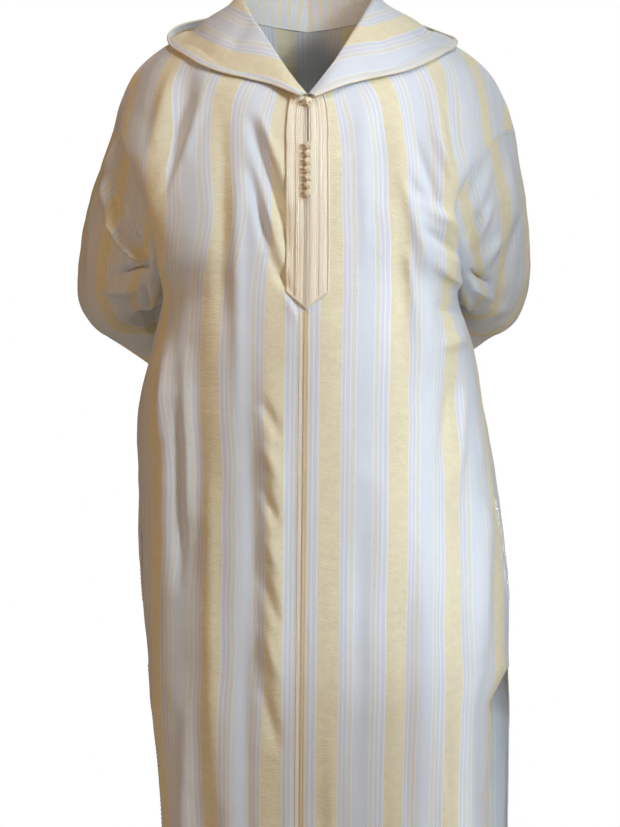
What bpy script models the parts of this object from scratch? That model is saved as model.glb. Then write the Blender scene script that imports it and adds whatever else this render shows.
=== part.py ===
"""Djellaba robe: a long hooded robe in its worn, hollow form.

Metres, +Z up, the front faces -Y. The origin lies between the shoulders at the height of the
neck. Left is the wearer's left, +X. Each cloth piece is a wall of even thickness on a grid of
points, whose columns run with the warp and whose rows run across it.
"""
import bpy
import numpy as np
from mathutils.bvhtree import BVHTree

# ---- driving sizes -------------------------------------------------------------------------
CLOTH = 0.0018            # thickness of one wall of cloth
SEAM_GAP = 0.0004         # between two pieces that are sewn edge to edge
UNDERARM_EASE = 0.0008    # and as much more at the sharp corner under the arm
HEM_HEIGHT = -1.365       # the straight lower hem
UNDERARM_HEIGHT = -0.365
PANEL_WIDTH = 0.345       # half of the front, from the centre to the side seam
NECK_SHARE = 0.093        # the part of that width which ends at the neckline
VENT_TOP = -0.865         # side vents run from here to the hem
VENT_RISE = 0.045         # height over which the front's edges draw in there
BACK_RISE = 0.085         # and the back's edges draw away
POCKET_TOP = -0.635       # slits for the hands, in the side seams
POCKET_BOTTOM = -0.775
POCKET_OPEN = (0.0008, -0.0035, 0.0)  # how far the front's edge stands off at their middle
PLACKET_WIDTH = 0.029     # one half of the braided placket
PLACKET_BOTTOM = -0.386   # the tip of its pointed end
PLACKET_SHOULDER = -0.362  # where its sides turn in to that tip
PLACKET_ROWS = 13
PLACKET_START = 0.35      # it begins this share of a row below the neckline
SLIT_BOTTOM = -0.165      # the fronts stand a little apart above this height
SLIT_HALF = 0.0010
CORD_HALF = 0.0046        # half the width of the flat cord down the centre seam
CORD_ROWS = 20
CORD_END = 0.003          # between its ends and the hem or the placket's tip
TRIM_GAP = 0.0008         # between a panel and the braid on it
BALL_GAP = 0.0004         # between the braid and a knotted button
BUTTON_RADIUS = 0.0042
TOP_BUTTON_RADIUS = 0.0050
BUTTON_ROW = (-0.172, -0.235)  # heights of the first and last of the row
BUTTON_COUNT = 7
TOP_BUTTON_HEIGHT = -0.1135
LOOP_RADIUS = 0.0008      # of the cord that a loop is made of
LOOP_REACH = 0.0115       # from the button's middle to the loop's sewn end
LOOP_TURN = 130           # degrees that it runs round the button each way
LOOP_SPREAD = 0.45        # how far apart its ends lie, for the button's radius
EDGE_RADIUS = 0.0018      # of the cord round the hood's rim
SLIT_CORD_RADIUS = 0.0017

ROWS_BELOW = 20           # rows from the hem to the underarm
ROWS_ABOVE = 12           # and from the underarm to the shoulder
COLUMNS = (0, 0.016, 0.032, 0.062, 0.093, 0.125, 0.155, 0.185, 0.215, 0.25, 0.285, 0.315, 0.345)
SLEEVE_ROWS = 18
HOOD_COLUMNS = (0, 0.05, 0.10, 0.15, 0.20, 0.25, 0.31, 0.37, 0.43, 0.49, 0.53, 0.56, 0.58, 0.60,
                0.62, 0.64, 0.66, 0.69, 0.74, 0.80, 0.86, 0.92, 0.965, 1.0)
HOOD_ROWS = (6, 1, 1, 6)  # neck to fold, its two sides, and fold to rim

# The relief across one half of the placket: a cord at each edge, a thin one in the middle,
# and two bands of flat braid between them.
BRAID_PROFILE = (
    # from centre  thickness
    (0.0012, 0.0014),
    (0.0034, 0.0022),
    (0.0056, 0.0014),
    (0.0142, 0.0014),
    (0.0157, 0.0020),
    (0.0172, 0.0014),
    (0.0246, 0.0014),
    (0.0268, 0.0026),
    (0.0290, 0.0014),
)
CORD_PROFILE = (
    (-1.0, 0.0010),
    (-0.5, 0.0024),
    (0.0, 0.0029),
    (0.5, 0.0024),
    (1.0, 0.0010),
)

# Level sections of the body, hem first: the half widths of the two sides, the depths of the
# front and back, where the side seam lies, and how square the corners are.
BODY = (
    # height  left   right  front   back   seam_y  square
    (-1.365, 0.270, 0.192, 0.150, 0.122, 0.000, 2.3),
    (-1.200, 0.272, 0.195, 0.150, 0.124, 0.000, 2.3),
    (-1.040, 0.274, 0.201, 0.151, 0.126, 0.000, 2.35),
    (-0.890, 0.276, 0.216, 0.153, 0.130, 0.000, 2.4),
    (-0.755, 0.275, 0.227, 0.158, 0.134, -0.044, 2.45),
    (-0.632, 0.260, 0.232, 0.163, 0.134, -0.060, 2.5),
    (-0.510, 0.2405, 0.231, 0.166, 0.122, -0.052, 2.6),
    (-0.430, 0.226, 0.212, 0.165, 0.114, -0.030, 2.7),
    (-0.365, 0.205, 0.198, 0.159, 0.112, -0.010, 2.8),
)

# How far the edges lie from the side seam's line where the vents are open.
VENT_OPEN = {
    # front_in forwards back_in backwards
    "left": (0.036, 0.012, -0.010, 0.070),
    "right": (0.000, 0.010, 0.010, 0.030),
}

# How far the centre line hangs off the middle plane, hem first.
CENTRE_DRIFT = (
    # height   x
    (-1.365, -0.0085),
    (-1.000, -0.0072),
    (-0.620, -0.0035),
    (-0.400, -0.0012),
    (-0.300, 0.0000),
)

# The armhole, from the underarm up to the shoulder tip, the same rows for its front and back.
ARMHOLE = (
    # along   left   right  front_y  back_y  height
    (0.00, 0.204, 0.197, -0.010, -0.010, -0.365),
    (0.22, 0.200, 0.197, -0.066, 0.045, -0.320),
    (0.44, 0.192, 0.210, -0.103, 0.086, -0.252),
    (0.66, 0.226, 0.236, -0.094, 0.090, -0.184),
    (0.85, 0.260, 0.254, -0.046, 0.050, -0.140),
    (1.00, 0.285, 0.268, 0.000, 0.000, -0.130),
)

# Sections of the two yokes, each at a point along the armhole: the centre line's place, how
# far the middle lifts and leans, and the handle that leads into the armhole edge.
FRONT_YOKE = (
    # along  centre_y centre_z  lift   lean   out     fore
    (0.22, -0.154, -0.305, 0.000, 0.000, 0.026, -0.075),
    (0.44, -0.148, -0.245, 0.006, 0.000, 0.018, -0.038),
    (0.66, -0.138, -0.185, 0.026, 0.006, -0.020, -0.026),
    (0.85, -0.124, -0.130, 0.084, 0.030, -0.030, -0.020),
)
BACK_YOKE = (
    (0.22, 0.120, -0.300, 0.000, 0.000, 0.012, 0.055),
    (0.44, 0.124, -0.232, 0.004, 0.000, 0.000, 0.028),
    (0.66, 0.122, -0.155, 0.022, -0.006, -0.020, 0.022),
    (0.85, 0.112, -0.070, 0.040, -0.030, -0.030, 0.020),
)

YOKE_LEVEL = 0.62         # how far each section of a yoke runs level from the centre

# The neckline from the bottom of the V to the side of the neck, and on to the centre back.
NECK_FRONT = (
    # x      y       z
    (0.000, -0.112, -0.104),
    (0.028, -0.096, -0.072),
    (0.054, -0.072, -0.038),
    (0.071, -0.038, -0.006),
    (0.078, 0.002, 0.018),
)
NECK_BACK = (
    (0.000, 0.074, 0.020),
    (0.032, 0.068, 0.023),
    (0.060, 0.045, 0.024),
    (0.078, 0.002, 0.018),
)
SHOULDER = (
    (0.078, 0.002, 0.018),
    (0.135, 0.002, 0.010),
    (0.194, 0.001, -0.008),
    (0.246, 0.000, -0.046),
    (0.272, 0.000, -0.090),
    (0.285, 0.000, -0.130),
)

# The left sleeve's four guide lines past the armhole: the top of the arm, which becomes the
# lower edge behind the back, its underside, and the lines in front of and behind the arm.
SLEEVE_OUTER = (
    (0.297, 0.014, -0.190),
    (0.308, 0.040, -0.255),
    (0.314, 0.076, -0.320),
    (0.306, 0.120, -0.370),
    (0.258, 0.155, -0.412),
    (0.165, 0.172, -0.478),
    (0.076, 0.176, -0.540),
)
SLEEVE_INNER = (
    (0.222, 0.018, -0.373),
    (0.226, 0.050, -0.368),
    (0.220, 0.082, -0.357),
    (0.204, 0.112, -0.341),
    (0.165, 0.138, -0.334),
    (0.115, 0.154, -0.356),
    (0.066, 0.160, -0.386),
)
SLEEVE_FRONT = (
    (0.240, -0.072, -0.296),
    (0.262, -0.030, -0.340),
    (0.268, 0.024, -0.382),
    (0.248, 0.082, -0.404),
    (0.203, 0.116, -0.400),
    (0.140, 0.130, -0.430),
    (0.070, 0.138, -0.466),
)
SLEEVE_BACK = (
    (0.262, 0.104, -0.245),
    (0.278, 0.128, -0.270),
    (0.278, 0.152, -0.304),
    (0.258, 0.178, -0.336),
    (0.212, 0.198, -0.366),
    (0.142, 0.206, -0.424),
    (0.072, 0.206, -0.466),
)
# How much further out the right sleeve stands, and how much higher, for each of those rows.
RIGHT_ELBOW = (
    # out    up
    (-0.005, 0.000),
    (0.004, 0.000),
    (0.013, 0.000),
    (0.014, -0.003),
    (0.008, -0.011),
    (0.002, -0.008),
    (0.000, 0.000),
)

# The hood, thrown back. Each row is a section from the neck seam to the rim, from the V round
# to the centre back: the rim, how much higher it is on the right, the height of the stand at
# the neck and, from the tip on, the bag's lower fold.
HOOD = (
    # along  rim_x  rim_y   rim_z   higher stand  fold_x  fold_y  fold_z
    (0.00, 0.008, -0.127, -0.102, 0.000, 0.004, 0.000, 0.000, 0.000),
    (0.12, 0.036, -0.114, -0.088, 0.000, 0.008, 0.000, 0.000, 0.000),
    (0.23, 0.060, -0.100, -0.076, 0.000, 0.018, 0.000, 0.000, 0.000),
    (0.35, 0.106, -0.098, -0.071, 0.000, 0.034, 0.000, 0.000, 0.000),
    (0.47, 0.158, -0.076, -0.054, 0.000, 0.042, 0.000, 0.000, 0.000),
    (0.56, 0.200, -0.014, -0.012, 0.002, 0.044, 0.000, 0.000, 0.000),
    (0.65, 0.188, 0.056, 0.012, 0.014, 0.047, 0.181, 0.060, -0.022),
    (0.76, 0.148, 0.112, 0.042, 0.004, 0.052, 0.134, 0.130, -0.130),
    (0.88, 0.080, 0.152, 0.068, 0.000, 0.056, 0.072, 0.142, -0.255),
    (1.00, 0.000, 0.168, 0.076, 0.000, 0.058, 0.000, 0.146, -0.365),
)
HOOD_REACH = {"left": 1.03, "right": 0.965}  # the share of those widths on each side
HOOD_TIP = 0.56           # where the rim turns from the chest to the back
TIP_STEPS = (0.16, 0.40, 0.66, 0.73, 0.80, 0.90)  # the section's points there, neck to rim
HOOD_FOLD_ROW = 5         # the section's own point at that fold
HOOD_SMOOTHING = 3        # how often neighbouring columns are drawn together
HOOD_SEAM_GAP = 0.0005    # the hood stands this far above the panels' edge
HOOD_PART = 0.0012        # its halves stand this far from the middle plane at the V
STAND_LEAN = 0.35         # how far the stand leans out for its height
STAND_ROLL = 0.022        # size of the roll at its top
LAPEL_ARCH = 0.10         # rise of the lapels' middle for their width
LAPEL_LIFT = (0, -0.3, 1)  # and the way in which it rises
FOLD_ROUND = 0.006        # roundness of the bag's lower fold
BAG_BULGE = 0.024         # how far the bag's outer layer stands out
INNER_BULGE = 0.0168      # and its inner layer
FULL_BAG = 0.15           # a bag that is less deep than this bulges less
HOOD_CLEARANCE = 0.0055   # between the middles of the hood's wall and the panels' walls
FULL_CLEARANCE = 0.2      # the share of a section over which that builds up from the seam
REACH = 0.04              # only walls nearer than this are looked at for clearance
SIDEWAYS = 0.004          # and only those that lie straight below

FOLD_START = 1 / 3        # share of a fold that runs to the hem in which it grows
FOLD_SOFT = 0.8           # how soon the other folds grow from their ends
FOLD_SPREAD = 0.6         # shape of a fold across its width
EDGE_FADE = 0.03          # folds die out over this distance from a panel's sides
TOP_FADE = 0.04           # and over this one from its top
# Folds: where each begins and ends (distance from the centre line and height), how wide it
# is and how deep. A negative depth is a trough.
FRONT_FOLDS_LEFT = (
    # x0     z0      x1     z1      width  depth
    (0.185, -0.060, 0.205, -0.215, 0.022, -0.012),
    (0.160, -0.060, 0.192, -0.200, 0.018, 0.008),
    (0.150, -0.270, 0.160, -0.480, 0.030, 0.007),
    (0.125, -0.250, 0.128, -0.520, 0.022, -0.005),
    (0.190, -0.430, 0.212, -0.800, 0.030, -0.008),
    (0.100, -0.700, 0.105, -1.365, 0.040, -0.006),
    (0.215, -0.850, 0.222, -1.365, 0.035, 0.007),
    (0.055, -0.950, 0.060, -1.365, 0.030, 0.006),
)
FRONT_FOLDS_RIGHT = (
    (0.155, -0.050, 0.192, -0.200, 0.022, -0.012),
    (0.180, -0.060, 0.205, -0.170, 0.016, 0.007),
    (0.050, -0.190, 0.016, -0.360, 0.018, -0.007),
    (0.050, -0.440, 0.038, -0.950, 0.026, 0.009),
    (0.078, -0.440, 0.066, -0.950, 0.022, -0.007),
    (0.150, -0.330, 0.150, -0.800, 0.035, -0.007),
    (0.185, -0.420, 0.190, -1.000, 0.030, 0.007),
    (0.105, -0.850, 0.100, -1.365, 0.035, 0.007),
    (0.140, -0.900, 0.138, -1.365, 0.030, -0.006),
)
BACK_FOLDS = (
    (0.070, -0.350, 0.080, -1.365, 0.040, 0.008),
    (-0.085, -0.420, -0.095, -1.365, 0.042, 0.007),
    (0.130, -0.500, 0.140, -1.365, 0.035, -0.008),
    (-0.150, -0.480, -0.150, -1.365, 0.038, -0.007),
    (0.005, -0.550, 0.000, -1.365, 0.045, -0.006),
    (0.200, -0.620, 0.210, -1.365, 0.035, 0.007),
    (-0.205, -0.600, -0.205, -1.365, 0.034, 0.006),
)


# ---- curves --------------------------------------------------------------------------------
def spline(knots, values, at):
    """A smooth curve through values (one row for each knot), read at each place."""
    knots = np.asarray(knots, float)
    values = np.asarray(values, float)
    at = np.clip(np.asarray(at, float), knots[0], knots[-1])
    slopes = np.empty_like(values)
    slopes[1:-1] = (values[2:] - values[:-2]) / column(knots[2:] - knots[:-2], values)
    slopes[0] = (values[1] - values[0]) / (knots[1] - knots[0])
    slopes[-1] = (values[-1] - values[-2]) / (knots[-1] - knots[-2])
    low = np.clip(np.searchsorted(knots, at, side="right") - 1, 0, len(knots) - 2)
    span = knots[low + 1] - knots[low]
    t = (at - knots[low]) / span
    shape = values[low]
    t = column(t, shape)
    span = column(span, shape)
    return ((2 * t**3 - 3 * t**2 + 1) * values[low] + (t**3 - 2 * t**2 + t) * span * slopes[low]
            + (3 * t**2 - 2 * t**3) * values[low + 1] + (t**3 - t**2) * span * slopes[low + 1])


def column(numbers, like):
    """The numbers shaped so that they multiply whole rows."""
    return np.asarray(numbers, float).reshape((-1,) + (1,) * (np.ndim(like) - 1))


def lengths(points):
    """Distance along a line of points, from its start to each point."""
    steps = np.linalg.norm(np.diff(points, axis=0), axis=1)
    return np.concatenate([[0.0], np.cumsum(steps)])


def resample(points, shares):
    """Points at the given shares of a line's length."""
    along = lengths(points)
    places = np.asarray(shares, float) * along[-1]
    return np.stack([np.interp(places, along, points[:, axis]) for axis in range(3)], axis=1)


def smooth_line(points, shares):
    """Points at the given shares along a smooth curve through a few points."""
    points = np.asarray(points, float)
    along = lengths(points)
    dense = spline(along, points, np.linspace(0, along[-1], 120))
    return resample(dense, shares)


def bezier(start, leave, arrive, end, count=60):
    t = np.linspace(0, 1, count)[:, None]
    return ((1 - t)**3 * start + 3 * (1 - t)**2 * t * leave
            + 3 * (1 - t) * t**2 * arrive + t**3 * end)


def unit(vectors):
    size = np.linalg.norm(vectors, axis=-1, keepdims=True)
    return vectors / np.maximum(size, 1e-9)


def mirrored(points, side):
    """The points as they are on the left, and mirrored on the right."""
    return np.asarray(points, float) * (side, 1, 1)


# ---- the body's sections -------------------------------------------------------------------
def body_section(row, side, front):
    """A quarter of a level section, from the centre line to the side seam."""
    height, left, right, front_depth, back_depth, seam_y, square = row
    half_width = left if side > 0 else right
    power = 2 / square
    seam_turn = np.arcsin(min(1, (abs(seam_y) / front_depth)**(1 / power)))
    if front:
        turns = np.linspace(np.pi / 2, seam_turn, 400)
        x = half_width * np.cos(turns)**power
        y = -front_depth * np.sin(turns)**power
    else:
        turns = np.linspace(np.pi / 2, -seam_turn, 500)
        x = half_width * np.cos(turns)**power
        depth = np.where(turns > 0, back_depth, front_depth)
        y = depth * np.sign(turns) * np.abs(np.sin(turns))**power
    return np.stack([side * np.abs(x), y, np.full(len(turns), height)], axis=1)


def armhole_point(side, along, front):
    """The armhole seam at a share of the way from the underarm to the shoulder tip."""
    table = np.array(ARMHOLE)
    across = table[:, 1] if side > 0 else table[:, 2]
    depth = table[:, 3] if front else table[:, 4]
    rows = np.stack([side * across, depth, table[:, 5]], axis=1)
    return spline(table[:, 0], rows, along)


def yoke_section(row, side, front):
    along, centre_y, centre_z, lift, lean, out, fore = row
    start = np.array([0, centre_y, centre_z])
    end = armhole_point(side, [along], front)[0]
    leave = start + (YOKE_LEVEL * (end[0] - start[0]), 0, 0)
    arrive = end + (side * out, fore, 0)
    line = bezier(start, leave, arrive, end)
    rise = np.sin(np.pi * np.linspace(0, 1, len(line)))
    line[:, 1] += lean * rise
    line[:, 2] += lift * rise
    return line


def top_section(side, front, shares):
    """The neckline, then the shoulder seam."""
    reach = armhole_point(side, [1.0], front)[0]
    shoulder = mirrored(SHOULDER, side)
    narrowing = np.linspace(0, 1, len(shoulder))**0.5
    shoulder[:, 0] *= 1 + (abs(reach[0]) / SHOULDER[-1][0] - 1) * narrowing
    neck = mirrored(NECK_FRONT if front else NECK_BACK, side)
    split = NECK_SHARE / PANEL_WIDTH
    inside = shares <= split + 1e-6
    neck_points = smooth_line(neck, shares[inside] / split)
    shoulder_points = smooth_line(shoulder, (shares[~inside] - split) / (1 - split))
    return np.concatenate([neck_points, shoulder_points])


def half_panel(side, front, shares, levels):
    """A grid over one side of the front or the back, rows from the hem to the shoulder.

    A level counts 0 at the hem, 1 at the underarm and 2 at the shoulder.
    """
    knots, sections = [], []
    for row in BODY:
        knots.append((row[0] - HEM_HEIGHT) / (UNDERARM_HEIGHT - HEM_HEIGHT))
        sections.append(resample(body_section(row, side, front), shares))
    for row in FRONT_YOKE if front else BACK_YOKE:
        knots.append(1 + row[0])
        sections.append(resample(yoke_section(row, side, front), shares))
    knots.append(2.0)
    sections.append(top_section(side, front, shares))
    grid = spline(knots, np.array(sections), levels)
    if front:
        drift = np.array(CENTRE_DRIFT)
        grid[..., 0] += np.interp(grid[..., 2], drift[:, 0], drift[:, 1]) * (1 - shares)
    above = levels >= 1
    grid[above, -1] = armhole_point(side, levels[above] - 1, front)
    seam = [section[-1] for section in sections[:len(BODY)]]
    grid[~above, -1] = spline(knots[:len(BODY)], seam, levels[~above])
    return grid


# ---- folds and seams -----------------------------------------------------------------------
def fold_height(x, z, folds):
    """How far the folds move each point of a panel out of its even surface."""
    total = np.zeros_like(x)
    for x0, z0, x1, z1, width, depth in folds:
        run = np.array([x1 - x0, z1 - z0])
        size = np.hypot(*run)
        run = run / size
        along = ((x - x0) * run[0] + (z - z0) * run[1]) / size
        off = (x - x0) * run[1] - (z - z0) * run[0]
        if z1 <= HEM_HEIGHT:
            fade = np.clip(along / FOLD_START, 0, 1)
        else:
            fade = np.sin(np.pi * np.clip(along, 0, 1))
        total += depth * np.clip(fade, 0, 1)**FOLD_SOFT * np.exp(-(off / (FOLD_SPREAD * width))**2)
    return total


def grid_normals(grid, closed=False):
    """Normals of a grid of points: rows cross columns."""
    if closed:
        across = np.roll(grid, -1, axis=1) - np.roll(grid, 1, axis=1)
    else:
        across = np.gradient(grid, axis=1)
    up = np.gradient(grid, axis=0)
    return unit(np.cross(across, up))


def meet(*directions):
    """One direction for walls that meet at a seam, long enough to keep each wall's size."""
    both = unit(sum(directions))
    spread = min_of([np.sum(both * one, axis=-1, keepdims=True) for one in directions])
    return both / np.maximum(spread, 0.6)


def min_of(arrays):
    return np.min(np.stack(arrays), axis=0)


class Sheet:
    """A grid of points at the middle of a wall, with the direction of the wall at each."""

    def __init__(self, name, grid, outward, closed=False):
        self.name = name
        self.grid = grid
        self.closed = closed
        self.normals = grid_normals(grid, closed) * outward

    def move(self, heights):
        self.grid = self.grid + self.normals * heights[..., None]

    def set_back(self, edge, inner, distance):
        """Draw an edge into the wall's own surface, square to the way the edge runs.

        The edge and the row of points inside it are given as index pairs.
        """
        line = self.grid[edge].copy()
        inward = unit(self.grid[inner] - line)
        tangent = np.gradient(line, axis=0)
        if self.closed:
            tangent = np.roll(line, -1, axis=0) - np.roll(line, 1, axis=0)
        tangent = unit(tangent)
        inward = unit(inward - tangent * np.sum(inward * tangent, axis=-1, keepdims=True))
        self.grid[edge] = line + inward * np.reshape(distance, (-1, 1))

    def read(self, row, place):
        """A point and its direction between the grid's own rows and columns."""
        low_row = min(int(row), self.grid.shape[0] - 2)
        low_column = min(int(place), self.grid.shape[1] - 2)
        down, over = row - low_row, place - low_column
        found = []
        for values in (self.grid, self.normals):
            lower = values[low_row, low_column] * (1 - over) + values[low_row, low_column + 1] * over
            upper = (values[low_row + 1, low_column] * (1 - over)
                     + values[low_row + 1, low_column + 1] * over)
            found.append(lower * (1 - down) + upper * down)
        return found[0], unit(found[1])


# ---- solids --------------------------------------------------------------------------------
def material(name, colour, roughness):
    made = bpy.data.materials.new(name)
    made.use_nodes = True
    shader = made.node_tree.nodes["Principled BSDF"]
    shader.inputs["Base Color"].default_value = (*colour, 1)
    shader.inputs["Roughness"].default_value = roughness
    shader.inputs["Metallic"].default_value = 0
    return made


def add_object(name, points, faces, finish):
    mesh = bpy.data.meshes.new(name)
    mesh.from_pydata([tuple(map(float, point)) for point in points], [], faces)
    mesh.materials.append(finish)
    made = bpy.data.objects.new(name, mesh)
    bpy.context.scene.collection.objects.link(made)
    mesh.validate()
    mesh.shade_smooth()
    mesh.set_sharp_from_angle(angle=np.radians(50))
    return made


def signed_volume(points, faces):
    total = 0.0
    for a, b, c in faces:
        total += np.dot(points[a], np.cross(points[b], points[c]))
    return total / 6


def two_sided(name, outer, inner, finish, closed=False):
    """A solid between two grids that face each other, closed round their edges."""
    rows, columns = outer.shape[:2]
    points = np.concatenate([outer.reshape(-1, 3), inner.reshape(-1, 3)])
    shift = rows * columns
    wide = columns if closed else columns - 1

    def at(row, place, layer):
        return layer * shift + row * columns + place % columns

    faces = []

    def quad(a, b, c, d):
        faces.extend([(a, b, c), (a, c, d)])

    for row in range(rows - 1):
        for place in range(wide):
            quad(at(row, place, 0), at(row, place + 1, 0), at(row + 1, place + 1, 0),
                 at(row + 1, place, 0))
            a, b = at(row, place, 1), at(row + 1, place, 1)
            c, d = at(row + 1, place + 1, 1), at(row, place + 1, 1)
            faces.extend([(a, b, c), (a, c, d)])
    for place in range(wide):
        quad(at(0, place, 0), at(0, place, 1), at(0, place + 1, 1), at(0, place + 1, 0))
        top = rows - 1
        quad(at(top, place, 0), at(top, place + 1, 0), at(top, place + 1, 1), at(top, place, 1))
    if not closed:
        for row in range(rows - 1):
            quad(at(row, 0, 0), at(row + 1, 0, 0), at(row + 1, 0, 1), at(row, 0, 1))
            last = columns - 1
            quad(at(row, last, 0), at(row, last, 1), at(row + 1, last, 1), at(row + 1, last, 0))
    if signed_volume(points, faces) < 0:
        faces = [face[::-1] for face in faces]
    return add_object(name, points, faces, finish)


def wall(sheet, finish, thickness=CLOTH):
    half = sheet.normals * thickness / 2
    return two_sided(sheet.name, sheet.grid + half, sheet.grid - half, finish, sheet.closed)


def tube(name, path, radius, finish, sides=6):
    """A round cord along a line of points, with flat ends."""
    path = np.asarray(path, float)
    heading = unit(np.gradient(path, axis=0))
    first = np.cross(heading[0], (0.0, 0.0, 1.0))
    if np.linalg.norm(first) < 0.2:
        first = np.cross(heading[0], (0.0, 1.0, 0.0))
    frame = [unit(first)]
    for step in heading[1:]:
        frame.append(unit(frame[-1] - step * np.dot(frame[-1], step)))
    points = []
    for centre, step, across in zip(path, heading, frame):
        other = np.cross(step, across)
        for turn in np.arange(sides) * 2 * np.pi / sides:
            points.append(centre + radius * (np.cos(turn) * across + np.sin(turn) * other))
    faces = []
    for ring in range(len(path) - 1):
        for k in range(sides):
            a, b = ring * sides + k, ring * sides + (k + 1) % sides
            faces.extend([(a, b, b + sides), (a, b + sides, a + sides)])
    last = (len(path) - 1) * sides
    for k in range(1, sides - 1):
        faces.append((0, k + 1, k))
        faces.append((last, last + k, last + k + 1))
    points = np.array(points)
    if signed_volume(points, faces) < 0:
        faces = [face[::-1] for face in faces]
    return add_object(name, points, faces, finish)


# ---- the panels ----------------------------------------------------------------------------
SHARES = np.array(COLUMNS) / PANEL_WIDTH
LEVELS = np.concatenate([np.linspace(0, 1, ROWS_BELOW + 1),
                         1 + np.linspace(0, 1, ROWS_ABOVE + 1)[1:]])
NECK_COLUMNS = COLUMNS.index(NECK_SHARE)
SIDES = {"left": 1, "right": -1}


def front_sheet(label):
    side = SIDES[label]
    grid = half_panel(side, True, SHARES, LEVELS)
    sheet = Sheet(f"front_{label}", grid, side)
    folds = FRONT_FOLDS_LEFT if side > 0 else FRONT_FOLDS_RIGHT
    heights = fold_height(np.abs(grid[..., 0]), grid[..., 2], folds)
    heights *= edge_fade(grid, 0, -1)
    sheet.move(heights)
    return sheet


def edge_fade(grid, *edges):
    """Nought at the named edge columns, rising to one inside the panel."""
    fade = np.ones(grid.shape[:2])
    for edge in edges:
        off = np.linalg.norm(grid - grid[:, edge:edge + 1 if edge != -1 else None], axis=-1)
        fade *= np.clip(off / EDGE_FADE, 0, 1)
    top = np.linalg.norm(grid - grid[-1:], axis=-1)
    return fade * np.clip(top / TOP_FADE, 0, 1)


def back_sheet():
    """The back is one piece: columns run from the right side seam to the left."""
    left = half_panel(1, False, SHARES, LEVELS)
    right = half_panel(-1, False, SHARES, LEVELS)
    grid = np.concatenate([right[:, :0:-1], left], axis=1)
    sheet = Sheet("back", grid, -1)
    heights = fold_height(grid[..., 0], grid[..., 2], BACK_FOLDS)
    heights *= edge_fade(grid, 0, -1)
    sheet.move(heights)
    return sheet


def open_slits(front, back, label):
    """Part the front's edge and the back's where the side seam is left open."""
    side = SIDES[label]
    front_in, forwards, back_in, backwards = VENT_OPEN[label]
    heights = front.grid[:, -1, 2]
    vent = np.clip((VENT_TOP - heights) / VENT_RISE, 0, 1)[:, None]
    drawn = np.clip((VENT_TOP - heights) / BACK_RISE, 0, 1)[:, None]
    drawn = drawn * drawn * (3 - 2 * drawn)
    pocket = np.sin(np.pi * np.clip((heights - POCKET_BOTTOM) / (POCKET_TOP - POCKET_BOTTOM), 0, 1))
    reach = np.clip(np.array(COLUMNS) / PANEL_WIDTH * 2 - 1, 0, 1)
    front.grid[..., 0] -= side * front_in * vent * reach**1.5
    front.grid[..., 1] -= forwards * vent * reach
    front.grid[:, -1] += pocket[:, None] * POCKET_OPEN * (side, 1, 1)
    middle = back.grid.shape[1] // 2
    half = back.grid[:, middle:] if side > 0 else back.grid[:, middle::-1]
    half[..., 0] -= side * back_in * drawn * reach
    half[..., 1] += backwards * drawn * reach**2


def sleeve_sheet(label, loop):
    """A tube from the armhole loop to the cuff, through its four guide lines."""
    side = SIDES[label]
    shift = np.zeros((len(RIGHT_ELBOW), 3))
    if side < 0:
        shift[:, (0, 2)] = RIGHT_ELBOW
    guides = [mirrored(np.array(line) + shift, side)
              for line in (SLEEVE_OUTER, SLEEVE_INNER, SLEEVE_FRONT, SLEEVE_BACK)]
    outer, inner, fore, aft = guides
    count = len(loop)
    middle = (outer + inner + fore + aft) / 4
    long_way = (inner - outer) / 2
    short_way = (fore - aft) / 2
    spread = (inner + outer - fore - aft) / 4
    turns = loop_turns(count)
    rings = [loop]
    for station in range(len(outer)):
        cosine, sine = np.cos(turns)[:, None], np.sin(turns)[:, None]
        rings.append(middle[station] + cosine * long_way[station] + sine * short_way[station]
                     + np.cos(2 * turns)[:, None] * spread[station])
    rings = np.array(rings)
    knots = lengths(np.concatenate([[loop.mean(axis=0)], middle]))
    outside = lengths(rings[:, count // 2])
    knots = (knots / knots[-1] + outside / outside[-1]) / 2
    places = np.linspace(0, 1, SLEEVE_ROWS + 1)
    grid = spline(knots, rings, places)
    return Sheet(f"sleeve_{label}", grid, -side, closed=True)


def loop_turns(count):
    """Angles of the armhole's points: nought at the underarm, a quarter at the front."""
    return np.arange(count) / count * 2 * np.pi


def armhole_loop(front, back_column):
    """The armhole's points: underarm, up the front, the shoulder tip, down the back."""
    up = front[ROWS_BELOW:]
    down = back_column[ROWS_BELOW + 1:-1][::-1]
    return np.concatenate([up, down])


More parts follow.
